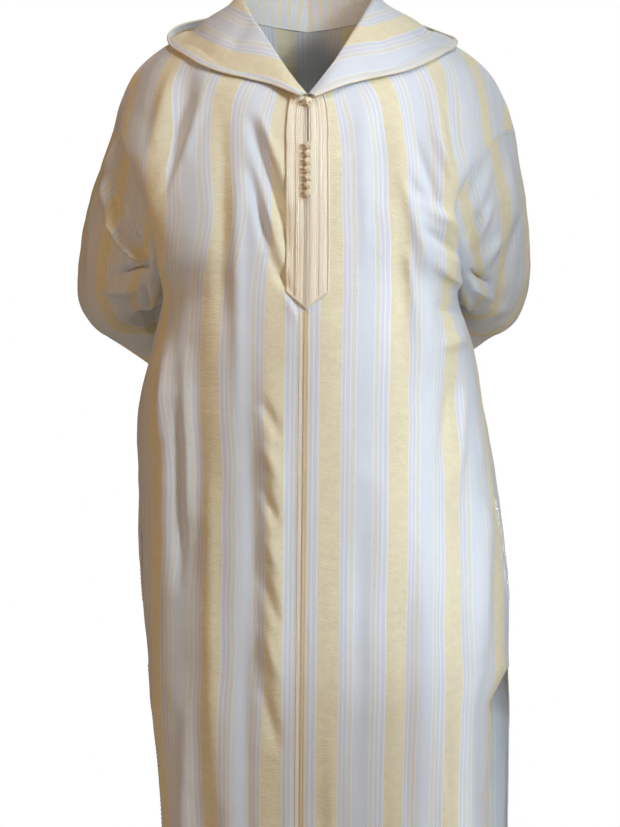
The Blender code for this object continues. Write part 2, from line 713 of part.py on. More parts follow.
# ---- the hood ------------------------------------------------------------------------------
def hood_sheet(label, front, back):
    """Half of the hood, columns from the V to the centre back, rows from neck to rim."""
    side = SIDES[label]
    reach = HOOD_REACH[label]
    table = np.array(HOOD)
    seam_line = neck_seam(side, front, back)
    stations = []
    for along, rim_x, rim_y, rim_z, higher, height, fold_x, fold_y, fold_z in table:
        start = resample(seam_line, [along])[0]
        rim = np.array([side * reach * rim_x, rim_y, rim_z + higher * (side < 0)])
        out = unit(start * (along < 1, 1, 0))
        stand = start + unit(out * STAND_LEAN + (0, 0, 1)) * height
        if along <= HOOD_TIP:
            share = (along / HOOD_TIP)**2
            even = np.linspace(0, 1, len(TIP_STEPS) + 2)[1:-1]
            steps = (even * (1 - share) + np.array(TIP_STEPS) * share)[:, None]
            arch = LAPEL_ARCH * (1 - share) * np.linalg.norm(rim - stand) * np.sin(np.pi * steps)
            between = stand * (1 - steps) + rim * steps + arch * LAPEL_LIFT
        else:
            fold = np.array([side * reach * fold_x, fold_y, fold_z])
            bulge = min(1, np.linalg.norm(rim - fold) / FULL_BAG)
            roll = stand + out * STAND_ROLL - (0, 0, STAND_ROLL)
            inner = (roll + fold) / 2 + out * INNER_BULGE
            outer = (fold + rim) / 2 + out * BAG_BULGE * bulge
            size = FOLD_ROUND * (1 + bulge) / 2
            away = unit(out + (0, 1, 0)) * size
            rise = unit((inner + outer) / 2 - fold) * size
            between = [roll, inner, fold + rise - away, fold, fold + rise + away, outer]
        stations.append([start, stand, *between, rim])
    stations = np.array(stations)
    guides = spline(table[:, 0], stations, HOOD_COLUMNS)
    grid = np.stack([bent_line(line, HOOD_FOLD_ROW) for line in guides], axis=1)
    for turn in range(HOOD_SMOOTHING):
        grid[1:, 1:-1] = (grid[1:, :-2] + 2 * grid[1:, 1:-1] + grid[1:, 2:]) / 4
    lift_clear(grid, (front, back), HOOD_CLEARANCE)
    return Sheet(f"hood_{label}", grid, side)


def lift_clear(grid, sheets, clearance):
    """Move a grid's points outwards, evenly, until each is clear of the sheets below it."""
    trees = [sheet_tree(sheet) for sheet in sheets]
    for turn in range(4):
        moves = np.zeros_like(grid)
        for row in range(1, len(grid)):
            room = clearance * min(1, row / (len(grid) - 1) / FULL_CLEARANCE)
            for place in range(grid.shape[1]):
                for tree, lifts in trees:
                    near, normal, face, away = tree.find_nearest(grid[row, place])
                    offset = grid[row, place] - np.array(near)
                    height = np.dot(offset, lifts[face])
                    beside = np.linalg.norm(offset - height * lifts[face])
                    if height < room and away < REACH and beside < SIDEWAYS:
                        moves[row, place] += lifts[face] * (room - height)
        if turn < 3:
            padded = np.pad(moves, ((1, 1), (1, 1), (0, 0)), mode="edge")
            around = (padded[:-2, 1:-1] + padded[2:, 1:-1] + padded[1:-1, :-2]
                      + padded[1:-1, 2:]) / 4
            moves[1:] = (0.5 * moves + 0.5 * around)[1:]
        grid += moves


def sheet_tree(sheet):
    """A search tree over a sheet's faces, with the outward direction of each face."""
    rows, columns = sheet.grid.shape[:2]
    points = sheet.grid.reshape(-1, 3)
    faces, lifts = [], []
    for row in range(rows - 1):
        for place in range(columns - 1):
            a = row * columns + place
            faces.append((a, a + 1, a + columns + 1, a + columns))
            lifts.append(unit(sheet.normals[row, place] + sheet.normals[row + 1, place + 1]))
    return BVHTree.FromPolygons([tuple(point) for point in points], faces), lifts


def bent_line(points, fold):
    """A smooth line through a section's points, with one row of the grid on its fold."""
    along = lengths(points)
    lines = []
    stops = (0, fold - 1, fold, fold + 1, len(points) - 1)
    for low, high, rows in zip(stops, stops[1:], HOOD_ROWS):
        dense = spline(along, points, np.linspace(along[low], along[high], 60))
        lines.append(resample(dense, np.linspace(0, 1, rows + 1)[:-1]))
    return np.concatenate([*lines, points[-1:]])


def join_seams(fronts, back, sleeves):
    """Give walls that meet one common direction along each seam, then part them a little."""
    middle = back.grid.shape[1] // 2
    last = len(COLUMNS) - 1
    ring = sleeves["left"].grid.shape[1]
    both = meet(fronts["left"].normals[:, 0], fronts["right"].normals[:, 0])
    for label, side in SIDES.items():
        front, sleeve = fronts[label], sleeves[label]
        outer = middle + side * last
        front.normals[:, 0] = both
        heights = front.grid[:, -1, 2]
        for row in range(ROWS_BELOW):
            sewn = heights[row] > VENT_TOP and not POCKET_BOTTOM < heights[row] < POCKET_TOP
            if sewn:
                common = meet(front.normals[row, -1], back.normals[row, outer])
                front.normals[row, -1] = back.normals[row, outer] = common
        for place in range(NECK_COLUMNS, last):
            across = middle + side * place
            common = meet(front.normals[-1, place], back.normals[-1, across])
            front.normals[-1, place] = back.normals[-1, across] = common
        seam = []
        for step in range(ring):
            row = ROWS_BELOW + min(step, ring - step)
            body = []
            if step <= ROWS_ABOVE:
                body.append(front.normals[row, -1])
            if step == 0 or step >= ROWS_ABOVE:
                body.append(back.normals[row, outer])
            seam.append(meet(unit(sum(body)), sleeve.normals[0, step]))
        seam = np.array(seam)
        seam = (np.roll(seam, 1, axis=0) + 2 * seam + np.roll(seam, -1, axis=0)) / 4
        sleeve.normals[0] = seam
        front.normals[ROWS_BELOW:, -1] = seam[:ROWS_ABOVE + 1]
        back.normals[ROWS_BELOW:, outer] = np.roll(seam, -1, axis=0)[ROWS_ABOVE - 1:][::-1]
    part_seams(fronts, back, sleeves)


def part_seams(fronts, back, sleeves):
    half = SEAM_GAP / 2
    middle = back.grid.shape[1] // 2
    last = len(COLUMNS) - 1
    every = slice(None)
    for label, side in SIDES.items():
        front = fronts[label]
        centre = np.where(front.grid[:, 0, 2] > SLIT_BOTTOM, SLIT_HALF, half)
        front.set_back((every, 0), (every, 1), centre)
        front.set_back((every, -1), (every, -2), half)
        shoulder = slice(NECK_COLUMNS, None)
        front.set_back((-1, shoulder), (-2, shoulder), half)
        sleeve = sleeves[label]
        under = np.maximum(np.cos(loop_turns(sleeve.grid.shape[1])), 0)**8
        sleeve.set_back((0, every), (1, every), SEAM_GAP + UNDERARM_EASE * under)
    for side in SIDES.values():
        outer = middle + side * last
        back.set_back((every, outer), (every, outer - side), half)
        shoulder = middle + side * np.arange(NECK_COLUMNS, last + 1)
        back.set_back((-1, shoulder), (-2, shoulder), half)


def neck_seam(side, front, back):
    """Where the hood stands: just above the panels' neckline and inside it."""
    middle = back.grid.shape[1] // 2
    front_row = front.grid[-1, :NECK_COLUMNS + 1]
    front_lift = front.normals[-1, :NECK_COLUMNS + 1]
    if side > 0:
        back_row = back.grid[-1, middle:middle + NECK_COLUMNS + 1]
        back_lift = back.normals[-1, middle:middle + NECK_COLUMNS + 1]
    else:
        back_row = back.grid[-1, middle - NECK_COLUMNS:middle + 1][::-1]
        back_lift = back.normals[-1, middle - NECK_COLUMNS:middle + 1][::-1]
    line = np.concatenate([front_row, back_row[::-1][1:]])
    lift = unit(np.concatenate([front_lift, back_lift[::-1][1:]]))
    inward = unit(np.cross(np.gradient(line, axis=0), lift))
    axis = np.array((0.0, 0.0, 0.05))
    inward *= np.sign(np.sum(inward * (axis - line), axis=1, keepdims=True))
    return line + (lift + inward) * (CLOTH / 2 + HOOD_SEAM_GAP)


# ---- trims ---------------------------------------------------------------------------------
def place_of(sheet, row, distance):
    """The column, with a fraction, at a distance over the cloth from a front's centre edge."""
    low = min(int(row), len(sheet.grid) - 2)
    line = sheet.grid[low] * (1 - row + low) + sheet.grid[low + 1] * (row - low)
    return np.interp(distance, lengths(line), range(len(line)))


def row_of(sheet, height):
    """The row, with a fraction, at a height on a front's centre edge."""
    return np.interp(height, sheet.grid[:, 0, 2], range(len(sheet.grid)))


def placket(label, front, braid):
    """Half of the braided placket, laid on its front panel."""
    top = len(front.grid) - 1 - PLACKET_START
    inner, outer = [], []
    for step in np.linspace(0, 1, PLACKET_ROWS + 1):
        under, over = [], []
        for distance, thickness in BRAID_PROFILE:
            share = distance / PLACKET_WIDTH
            bottom = PLACKET_BOTTOM + (PLACKET_SHOULDER - PLACKET_BOTTOM) * share
            row = row_of(front, bottom) * (1 - step) + top * step
            point, out = front.read(row, place_of(front, row, distance))
            base = CLOTH / 2 + TRIM_GAP
            under.append(point + out * base)
            over.append(point + out * (base + thickness))
        inner.append(under)
        outer.append(over)
    return two_sided(f"placket_{label}", np.array(outer), np.array(inner), braid)


def centre_cord(fronts, cord):
    """The flat cord that covers the centre seam from the placket to the hem."""
    left = fronts["left"]
    low = row_of(left, HEM_HEIGHT + CORD_END)
    high = row_of(left, PLACKET_BOTTOM - CORD_END)
    inner, outer = [], []
    for row in np.linspace(low, high, CORD_ROWS + 1):
        under, over = [], []
        for share, thickness in CORD_PROFILE:
            under_it = [fronts[label] for label, side in SIDES.items() if share * side >= 0]
            pairs = [sheet.read(row, place_of(sheet, row, abs(share) * CORD_HALF))
                     for sheet in under_it]
            point = sum(pair[0] for pair in pairs) / len(pairs)
            out = unit(sum(pair[1] for pair in pairs))
            base = CLOTH / 2 + TRIM_GAP
            under.append(point + out * base)
            over.append(point + out * (base + thickness))
        inner.append(under)
        outer.append(over)
    return two_sided("centre_cord", np.array(outer), np.array(inner), cord)


def button_seat(fronts, height):
    """The point on top of the placket at the centre line, and the way out from it."""
    found = [sheet.read(row_of(sheet, height), 0.0) for sheet in fronts.values()]
    out = unit(sum(pair[1] for pair in found))
    point = sum(pair[0] for pair in found) / 2
    inner_cord = max(thickness for distance, thickness in BRAID_PROFILE[:3])
    return point + out * (CLOTH / 2 + TRIM_GAP + inner_cord + BALL_GAP), out


def knotted_button(name, fronts, height, radius, cord):
    seat, out = button_seat(fronts, height)
    bpy.ops.mesh.primitive_uv_sphere_add(segments=8, ring_count=6, radius=radius,
                                         location=tuple(seat + out * radius))
    made = bpy.context.active_object
    made.name = made.data.name = name
    made.data.materials.append(cord)
    made.data.shade_smooth()
    return made


def button_loop(name, fronts, height, radius, cord):
    """A loop of thin cord round the foot of a button, sewn down on the right half."""
    seat, out = button_seat(fronts, height)
    across = np.array((1.0, 0.0, 0.0))
    up = np.cross(across, out) * -1
    rest = seat + out * LOOP_RADIUS
    turns = np.radians(np.linspace(LOOP_TURN, -LOOP_TURN, 9))
    round_foot = [(radius * np.cos(turn), radius * np.sin(turn)) for turn in turns]
    apart = radius * LOOP_SPREAD
    flat = [(-LOOP_REACH, apart)] + round_foot + [(-LOOP_REACH, -apart)]
    path = [rest + across * x + up * z for x, z in flat]
    return tube(name, path, LOOP_RADIUS, cord, sides=4)


def hood_edge(label, hood, cord):
    """The rolled cord along the hood's rim."""
    rim, before = hood.grid[-1], hood.grid[-2]
    outward = unit(rim - before)
    path = rim + outward * (EDGE_RADIUS + SEAM_GAP)
    side = SIDES[label]
    path[:, 0] = side * np.maximum(side * path[:, 0], SEAM_GAP)
    return tube(f"hood_edge_{label}", path, EDGE_RADIUS, cord)


def slit_cord(name, front, low, high, cord):
    """A cord on the front panel, along its open side edge."""
    heights = front.grid[:, -1, 2]
    first, last = np.interp((low, high), heights, range(len(heights)))
    between = np.arange(np.ceil(2 * first + 0.5), 2 * last - 0.5) / 2
    path = []
    for row in (first, *between, last):
        point, out = front.read(row, len(COLUMNS) - 1)
        path.append(point + out * (CLOTH / 2 + TRIM_GAP + SLIT_CORD_RADIUS))
    return tube(name, path, SLIT_CORD_RADIUS, cord, sides=6)


def part_hood(hoods):
    """Keep the two halves of the hood just apart, at the centre back and at the V."""
    for hood in hoods.values():
        hood.grid[:, -1, 0] += np.sign(hood.grid[:, -2, 0]) * SEAM_GAP / 2
        hood.normals[:, -1, 0] = 0
        hood.normals[:, -1] = unit(hood.normals[:, -1])
        start = hood.grid[:, 0, 0] * np.sign(hood.grid[:, 1, 0])
        hood.grid[:, 0, 0] = np.maximum(start, HOOD_PART) * np.sign(hood.grid[:, 1, 0])


def clear_scene():
    for made in list(bpy.data.objects):
        bpy.data.objects.remove(made, do_unlink=True)


def main():
    clear_scene()
    cloth = material("striped_cloth", (0.86, 0.80, 0.64), 0.6)
    braid = material("silk_braid", (0.84, 0.72, 0.50), 0.55)
    cord = material("silk_cord", (0.72, 0.58, 0.38), 0.5)
    fronts = {label: front_sheet(label) for label in SIDES}
    back = back_sheet()
    sleeves = {}
    for label, side in SIDES.items():
        loop = armhole_loop(fronts[label].grid[:, -1], back.grid[:, -1 if side > 0 else 0])
        sleeves[label] = sleeve_sheet(label, loop)
        open_slits(fronts[label], back, label)
    join_seams(fronts, back, sleeves)
    hoods = {label: hood_sheet(label, fronts[label], back) for label in SIDES}
    part_hood(hoods)
    for sheet in (*fronts.values(), back, *sleeves.values(), *hoods.values()):
        wall(sheet, cloth)
    for label in SIDES:
        placket(label, fronts[label], braid)
        hood_edge(label, hoods[label], cord)
        slit_cord(f"vent_cord_{label}", fronts[label], HEM_HEIGHT + CORD_END, VENT_TOP, cord)
        slit_cord(f"pocket_cord_{label}", fronts[label], POCKET_BOTTOM, POCKET_TOP, cord)
    centre_cord(fronts, cord)
    knotted_button("button_top", fronts, TOP_BUTTON_HEIGHT, TOP_BUTTON_RADIUS, cord)
    button_loop("loop_top", fronts, TOP_BUTTON_HEIGHT, TOP_BUTTON_RADIUS, cord)
    for number, height in enumerate(np.linspace(*BUTTON_ROW, BUTTON_COUNT), start=1):
        knotted_button(f"button_{number}", fronts, height, BUTTON_RADIUS, cord)
        button_loop(f"loop_{number}", fronts, height, BUTTON_RADIUS, cord)


main()
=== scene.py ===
"""Djellaba robe: striped cloth, braid, cords and knots over the packed form of the robe."""
from functools import cache
import bpy
import numpy as np
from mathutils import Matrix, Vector, noise
from mathutils.bvhtree import BVHTree


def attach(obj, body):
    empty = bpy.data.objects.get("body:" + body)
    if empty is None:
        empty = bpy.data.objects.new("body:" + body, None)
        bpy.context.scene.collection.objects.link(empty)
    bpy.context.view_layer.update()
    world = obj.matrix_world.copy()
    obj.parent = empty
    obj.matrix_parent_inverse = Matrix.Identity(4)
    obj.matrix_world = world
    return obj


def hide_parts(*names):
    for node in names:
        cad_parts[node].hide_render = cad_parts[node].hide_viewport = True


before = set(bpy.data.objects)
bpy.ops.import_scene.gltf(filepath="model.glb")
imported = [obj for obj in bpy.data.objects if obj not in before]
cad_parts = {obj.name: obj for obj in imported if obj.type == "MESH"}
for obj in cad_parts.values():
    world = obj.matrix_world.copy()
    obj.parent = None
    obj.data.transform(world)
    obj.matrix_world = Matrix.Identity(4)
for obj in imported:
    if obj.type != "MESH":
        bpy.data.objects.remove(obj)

bl_info = {
    "name": "Djellaba robe",
    "version": (1, 0, 0),
    "blender": (4, 5, 0),
    "location": "3D View > Sidebar > Robe",
    "description": "Builds the cloth, braid, cords and knots of a striped hooded robe",
    "category": "Object",
}

# ---- driving sizes -------------------------------------------------------------------------
CLOTH = 0.0018            # thickness of one wall of cloth
SEAM_GAP = 0.0001         # between two pieces that are sewn edge to edge
UNDERARM_EASE = 0.0002    # and as much more at the sharp corner under the arm
HEM_HEIGHT = -1.365       # the straight lower hem
UNDERARM_HEIGHT = -0.365
PANEL_WIDTH = 0.345       # half of the front, from the centre to the side seam
NECK_SHARE = 0.093        # the part of that width which ends at the neckline
VENT_TOP = -0.865         # side vents run from here to the hem
VENT_RISE = 0.045         # height over which the front's edges draw in there
BACK_RISE = 0.085         # and the back's edges draw away
POCKET_TOP = -0.635       # slits for the hands, in the side seams
POCKET_BOTTOM = -0.775
POCKET_OPEN = (0.0008, -0.0035, 0.0)  # how far the front's edge stands off at their middle
PLACKET_WIDTH = 0.029     # one half of the braided placket
PLACKET_BOTTOM = -0.386   # the tip of its pointed end
PLACKET_SHOULDER = -0.362  # where its sides turn in to that tip
SLIT_BOTTOM = -0.165      # the fronts stand a little apart above this height
SLIT_HALF = 0.0008
CORD_END = 0.003          # between the centre cord's end and the hem
TRIM_GAP = 0.0008         # between a panel and the braid on it
INNER_CORD = 0.0022       # how far the cords beside the opening stand out
BALL_GAP = 0.0004         # between the braid and a knotted button
BUTTON_RADIUS = 0.0042
TOP_BUTTON_RADIUS = 0.0050
BUTTON_ROW = (-0.172, -0.235)  # heights of the first and last of the row
BUTTON_COUNT = 7
TOP_BUTTON_HEIGHT = -0.1135
LOOP_RADIUS = 0.0008      # of the cord that a loop is made of
LOOP_REACH = 0.0115       # from the button's middle to the loop's sewn end
LOOP_TURN = 130           # degrees that it runs round the button each way
EDGE_RADIUS = 0.0018      # of the cord round the hood's rim

ROWS_BELOW = 170          # rows from the hem to the underarm
ROWS_ABOVE = 64           # and from the underarm to the shoulder
COLUMNS = tuple(np.round(np.concatenate([np.linspace(0, NECK_SHARE, 25)[:-1],
                                         np.linspace(NECK_SHARE, PANEL_WIDTH, 64)]), 6))
NECK_COLUMNS = COLUMNS.index(NECK_SHARE)
SHARES = np.array(COLUMNS) / PANEL_WIDTH
# A level counts 0 at the hem, 1 at the underarm and 2 at the shoulder.
LEVELS = np.concatenate([np.linspace(0, 1, ROWS_BELOW + 1),
                         1 + np.linspace(0, 1, ROWS_ABOVE + 1)[1:]])
SIDES = {"left": 1, "right": -1}
SLEEVE_ROWS = 150
HOOD_COLUMNS = np.interp(np.linspace(0, 23, 93), range(24), (
    0, 0.05, 0.10, 0.15, 0.20, 0.25, 0.31, 0.37, 0.43, 0.49, 0.53, 0.56, 0.58, 0.60,
    0.62, 0.64, 0.66, 0.69, 0.74, 0.80, 0.86, 0.92, 0.965, 1.0))
HOOD_ROWS = (24, 4, 4, 26)  # neck to fold, its two sides, and fold to rim

# Level sections of the body, hem first: the half widths of the two sides, the depths of the
# front and back, where the side seam lies, and how square the corners are.
BODY = (
    # height  left   right  front   back   seam_y  square
    (-1.365, 0.270, 0.192, 0.150, 0.122, 0.000, 2.3),
    (-1.200, 0.272, 0.195, 0.150, 0.124, 0.000, 2.3),
    (-1.040, 0.274, 0.201, 0.151, 0.126, 0.000, 2.35),
    (-0.890, 0.276, 0.216, 0.153, 0.130, 0.000, 2.4),
    (-0.755, 0.275, 0.227, 0.158, 0.134, -0.044, 2.45),
    (-0.632, 0.260, 0.232, 0.163, 0.134, -0.060, 2.5),
    (-0.510, 0.2405, 0.231, 0.166, 0.122, -0.052, 2.6),
    (-0.430, 0.226, 0.212, 0.165, 0.114, -0.030, 2.7),
    (-0.365, 0.205, 0.198, 0.159, 0.112, -0.010, 2.8),
)

# How far the edges lie from the side seam's line where the vents are open.
VENT_OPEN = {
    # front_in forwards back_in backwards
    "left": (0.036, 0.012, -0.010, 0.070),
    "right": (0.000, 0.010, 0.010, 0.030),
}

# How far the centre line hangs off the middle plane, hem first.
CENTRE_DRIFT = (
    # height   x
    (-1.365, -0.0085),
    (-1.000, -0.0072),
    (-0.620, -0.0035),
    (-0.400, -0.0012),
    (-0.300, 0.0000),
)

# The armhole, from the underarm up to the shoulder tip, the same rows for its front and back.
ARMHOLE = (
    # along   left   right  front_y  back_y  height
    (0.00, 0.204, 0.197, -0.010, -0.010, -0.365),
    (0.22, 0.200, 0.197, -0.066, 0.045, -0.320),
    (0.44, 0.192, 0.210, -0.103, 0.086, -0.252),
    (0.66, 0.226, 0.236, -0.094, 0.090, -0.184),
    (0.85, 0.260, 0.254, -0.046, 0.050, -0.140),
    (1.00, 0.285, 0.268, 0.000, 0.000, -0.130),
)

# Sections of the two yokes, each at a point along the armhole: the centre line's place, how
# far the middle lifts and leans, and the handle that leads into the armhole edge.
FRONT_YOKE = (
    # along  centre_y centre_z  lift   lean   out     fore
    (0.22, -0.154, -0.305, 0.000, 0.000, 0.026, -0.075),
    (0.44, -0.148, -0.245, 0.006, 0.000, 0.018, -0.038),
    (0.66, -0.138, -0.185, 0.026, 0.006, -0.020, -0.026),
    (0.85, -0.124, -0.130, 0.084, 0.030, -0.030, -0.020),
)
BACK_YOKE = (
    (0.22, 0.120, -0.300, 0.000, 0.000, 0.012, 0.055),
    (0.44, 0.124, -0.232, 0.004, 0.000, 0.000, 0.028),
    (0.66, 0.122, -0.155, 0.022, -0.006, -0.020, 0.022),
    (0.85, 0.112, -0.070, 0.040, -0.030, -0.030, 0.020),
)

YOKE_LEVEL = 0.62         # how far each section of a yoke runs level from the centre

# The neckline from the bottom of the V to the side of the neck, and on to the centre back.
NECK_FRONT = (
    # x      y       z
    (0.000, -0.112, -0.104),
    (0.028, -0.096, -0.072),
    (0.054, -0.072, -0.038),
    (0.071, -0.038, -0.006),
    (0.078, 0.002, 0.018),
)
NECK_BACK = (
    (0.000, 0.074, 0.020),
    (0.032, 0.068, 0.023),
    (0.060, 0.045, 0.024),
    (0.078, 0.002, 0.018),
)
NECK_MIDDLE = (0.0, 0.0, 0.05)
SHOULDER = (
    (0.078, 0.002, 0.018),
    (0.135, 0.002, 0.010),
    (0.194, 0.001, -0.008),
    (0.246, 0.000, -0.046),
    (0.272, 0.000, -0.090),
    (0.285, 0.000, -0.130),
)

# The left sleeve's four guide lines past the armhole: the top of the arm, which becomes the
# lower edge behind the back, its underside, and the lines in front of and behind the arm.
SLEEVE_GUIDES = (
    # outer                 inner                   front                    back
    ((0.297, 0.014, -0.190), (0.222, 0.018, -0.373), (0.240, -0.072, -0.296), (0.262, 0.104, -0.245)),
    ((0.308, 0.040, -0.255), (0.226, 0.050, -0.368), (0.262, -0.030, -0.340), (0.278, 0.128, -0.270)),
    ((0.314, 0.076, -0.320), (0.220, 0.082, -0.357), (0.268, 0.024, -0.382), (0.278, 0.152, -0.304)),
    ((0.306, 0.120, -0.370), (0.204, 0.112, -0.341), (0.248, 0.082, -0.404), (0.258, 0.178, -0.336)),
    ((0.258, 0.155, -0.412), (0.165, 0.138, -0.334), (0.203, 0.116, -0.400), (0.212, 0.198, -0.366)),
    ((0.165, 0.172, -0.478), (0.115, 0.154, -0.356), (0.140, 0.130, -0.430), (0.142, 0.206, -0.424)),
    ((0.076, 0.176, -0.540), (0.066, 0.160, -0.386), (0.070, 0.138, -0.466), (0.072, 0.206, -0.466)),
)
# How much further out the right sleeve stands, and how much higher, for each of those rows.
RIGHT_ELBOW = (
    # out    up
    (-0.005, 0.000),
    (0.004, 0.000),
    (0.013, 0.000),
    (0.014, -0.003),
    (0.008, -0.011),
    (0.002, -0.008),
    (0.000, 0.000),
)

# The hood, thrown back. Each row is a section from the neck seam to the rim, from the V round
# to the centre back: the rim, how much higher it is on the right, the height of the stand at
# the neck and, from the tip on, the bag's lower fold.
HOOD = (
    # along  rim_x  rim_y   rim_z   higher stand  fold_x  fold_y  fold_z
    (0.00, 0.008, -0.127, -0.102, 0.000, 0.004, 0.000, 0.000, 0.000),
    (0.12, 0.036, -0.114, -0.088, 0.000, 0.008, 0.000, 0.000, 0.000),
    (0.23, 0.060, -0.100, -0.076, 0.000, 0.018, 0.000, 0.000, 0.000),
    (0.35, 0.106, -0.098, -0.071, 0.000, 0.034, 0.000, 0.000, 0.000),
    (0.47, 0.158, -0.076, -0.054, 0.000, 0.042, 0.000, 0.000, 0.000),
    (0.56, 0.200, -0.014, -0.012, 0.002, 0.044, 0.000, 0.000, 0.000),
    (0.65, 0.188, 0.056, 0.012, 0.014, 0.047, 0.181, 0.060, -0.022),
    (0.76, 0.148, 0.112, 0.042, 0.004, 0.052, 0.134, 0.130, -0.130),
    (0.88, 0.080, 0.152, 0.068, 0.000, 0.056, 0.072, 0.142, -0.255),
    (1.00, 0.000, 0.168, 0.076, 0.000, 0.058, 0.000, 0.146, -0.365),
)
HOOD_REACH = {"left": 1.03, "right": 0.965}  # the share of those widths on each side
HOOD_TIP = 0.56           # where the rim turns from the chest to the back
TIP_STEPS = (0.16, 0.40, 0.66, 0.73, 0.80, 0.90)  # the section's points there, neck to rim
HOOD_FOLD_ROW = 5         # the section's own point at that fold
HOOD_SMOOTHING = 48       # how often neighbouring columns are drawn together
HOOD_SEAM_GAP = -0.0003   # below zero the hood's foot laps the panels' edge
HOOD_PART = 0.0012        # its halves stand this far from the middle plane at the V
STAND_LEAN = 0.35         # how far the stand leans out for its height
STAND_ROLL = 0.022        # size of the roll at its top
LAPEL_ARCH = 0.10         # rise of the lapels' middle for their width
LAPEL_LIFT = (0, -0.3, 1)  # and the way in which it rises
FOLD_ROUND = 0.006        # roundness of the bag's lower fold
BAG_BULGE = 0.024         # how far the bag's outer layer stands out
INNER_BULGE = 0.0168      # and its inner layer
FULL_BAG = 0.15           # a bag that is less deep than this bulges less
HOOD_CLEARANCE = 0.0055   # between the middles of the hood's wall and the panels' walls
FULL_CLEARANCE = 0.2      # the share of a section over which that builds up from the seam
REACH = 0.04              # only walls nearer than this are looked at for clearance
SIDEWAYS = 0.004          # and only those that lie straight below
CLEARING_TURNS = 4        # how often the hood is lifted clear, evenly but for the last time

FOLD_START = 1 / 3        # share of a fold that runs to the hem in which it grows
FOLD_SOFT = 0.8           # how soon the other folds grow from their ends
FOLD_SPREAD = 0.6         # shape of a fold across its width
EDGE_FADE = 0.03          # folds die out over this distance from a panel's sides
TOP_FADE = 0.04           # and over this one from its top
# Folds: where each begins and ends (distance from the centre line and height), how wide it
# is and how deep. A negative depth is a trough.
FRONT_FOLDS = {
    "left": (
        # x0     z0      x1     z1      width  depth
        (0.185, -0.060, 0.205, -0.215, 0.022, -0.012),
        (0.160, -0.060, 0.192, -0.200, 0.018, 0.008),
        (0.150, -0.270, 0.160, -0.480, 0.030, 0.007),
        (0.125, -0.250, 0.128, -0.520, 0.022, -0.005),
        (0.190, -0.430, 0.212, -0.800, 0.030, -0.008),
        (0.100, -0.700, 0.105, -1.365, 0.040, -0.006),
        (0.215, -0.850, 0.222, -1.365, 0.035, 0.007),
        (0.055, -0.950, 0.060, -1.365, 0.030, 0.006),
    ),
    "right": (
        (0.155, -0.050, 0.192, -0.200, 0.022, -0.012),
        (0.180, -0.060, 0.205, -0.170, 0.016, 0.007),
        (0.050, -0.190, 0.016, -0.360, 0.018, -0.007),
        (0.050, -0.440, 0.038, -0.950, 0.026, 0.009),
        (0.078, -0.440, 0.066, -0.950, 0.022, -0.007),
        (0.150, -0.330, 0.150, -0.800, 0.035, -0.007),
        (0.185, -0.420, 0.190, -1.000, 0.030, 0.007),
        (0.105, -0.850, 0.100, -1.365, 0.035, 0.007),
        (0.140, -0.900, 0.138, -1.365, 0.030, -0.006),
    ),
}
BACK_FOLDS = (
    (0.070, -0.350, 0.080, -1.365, 0.040, 0.008),
    (-0.085, -0.420, -0.095, -1.365, 0.042, 0.007),
    (0.130, -0.500, 0.140, -1.365, 0.035, -0.008),
    (-0.150, -0.480, -0.150, -1.365, 0.038, -0.007),
    (0.005, -0.550, 0.000, -1.365, 0.045, -0.006),
    (0.200, -0.620, 0.210, -1.365, 0.035, 0.007),
    (-0.205, -0.600, -0.205, -1.365, 0.034, 0.006),
)


# ---- curves --------------------------------------------------------------------------------
def spline(knots, values, at):
    """A smooth curve through values (one row for each knot), read at each place."""
    knots = np.asarray(knots, float)
    values = np.asarray(values, float)
    at = np.clip(np.asarray(at, float), knots[0], knots[-1])
    slopes = np.empty_like(values)
    slopes[1:-1] = (values[2:] - values[:-2]) / column(knots[2:] - knots[:-2], values)
    slopes[0] = (values[1] - values[0]) / (knots[1] - knots[0])
    slopes[-1] = (values[-1] - values[-2]) / (knots[-1] - knots[-2])
    low = np.clip(np.searchsorted(knots, at, side="right") - 1, 0, len(knots) - 2)
    span = knots[low + 1] - knots[low]
    t = (at - knots[low]) / span
    shape = values[low]
    t = column(t, shape)
    span = column(span, shape)
    return ((2 * t**3 - 3 * t**2 + 1) * values[low] + (t**3 - 2 * t**2 + t) * span * slopes[low]
            + (3 * t**2 - 2 * t**3) * values[low + 1] + (t**3 - t**2) * span * slopes[low + 1])


def column(numbers, like):
    """The numbers shaped so that they multiply whole rows."""
    return np.asarray(numbers, float).reshape((-1,) + (1,) * (np.ndim(like) - 1))


def lengths(points):
    """Distance along a line of points, from its start to each point."""
    steps = np.linalg.norm(np.diff(points, axis=0), axis=1)
    return np.concatenate([[0.0], np.cumsum(steps)])


def resample(points, shares):
    """Points at the given shares of a line's length."""
    along = lengths(points)
    places = np.asarray(shares, float) * along[-1]
    return np.stack([np.interp(places, along, points[:, axis]) for axis in range(3)], axis=1)


def smooth_line(points, shares):
    """Points at the given shares along a smooth curve through a few points."""
    points = np.asarray(points, float)
    along = lengths(points)
    dense = spline(along, points, np.linspace(0, along[-1], 120))
    return resample(dense, shares)


def bezier(start, leave, arrive, end, count=60):
    t = np.linspace(0, 1, count)[:, None]
    return ((1 - t)**3 * start + 3 * (1 - t)**2 * t * leave
            + 3 * (1 - t) * t**2 * arrive + t**3 * end)


def unit(vectors):
    size = np.linalg.norm(vectors, axis=-1, keepdims=True)
    return vectors / np.maximum(size, 1e-9)


def mirrored(points, side):
    """The points as they are on the left, and mirrored on the right."""
    return np.asarray(points, float) * (side, 1, 1)


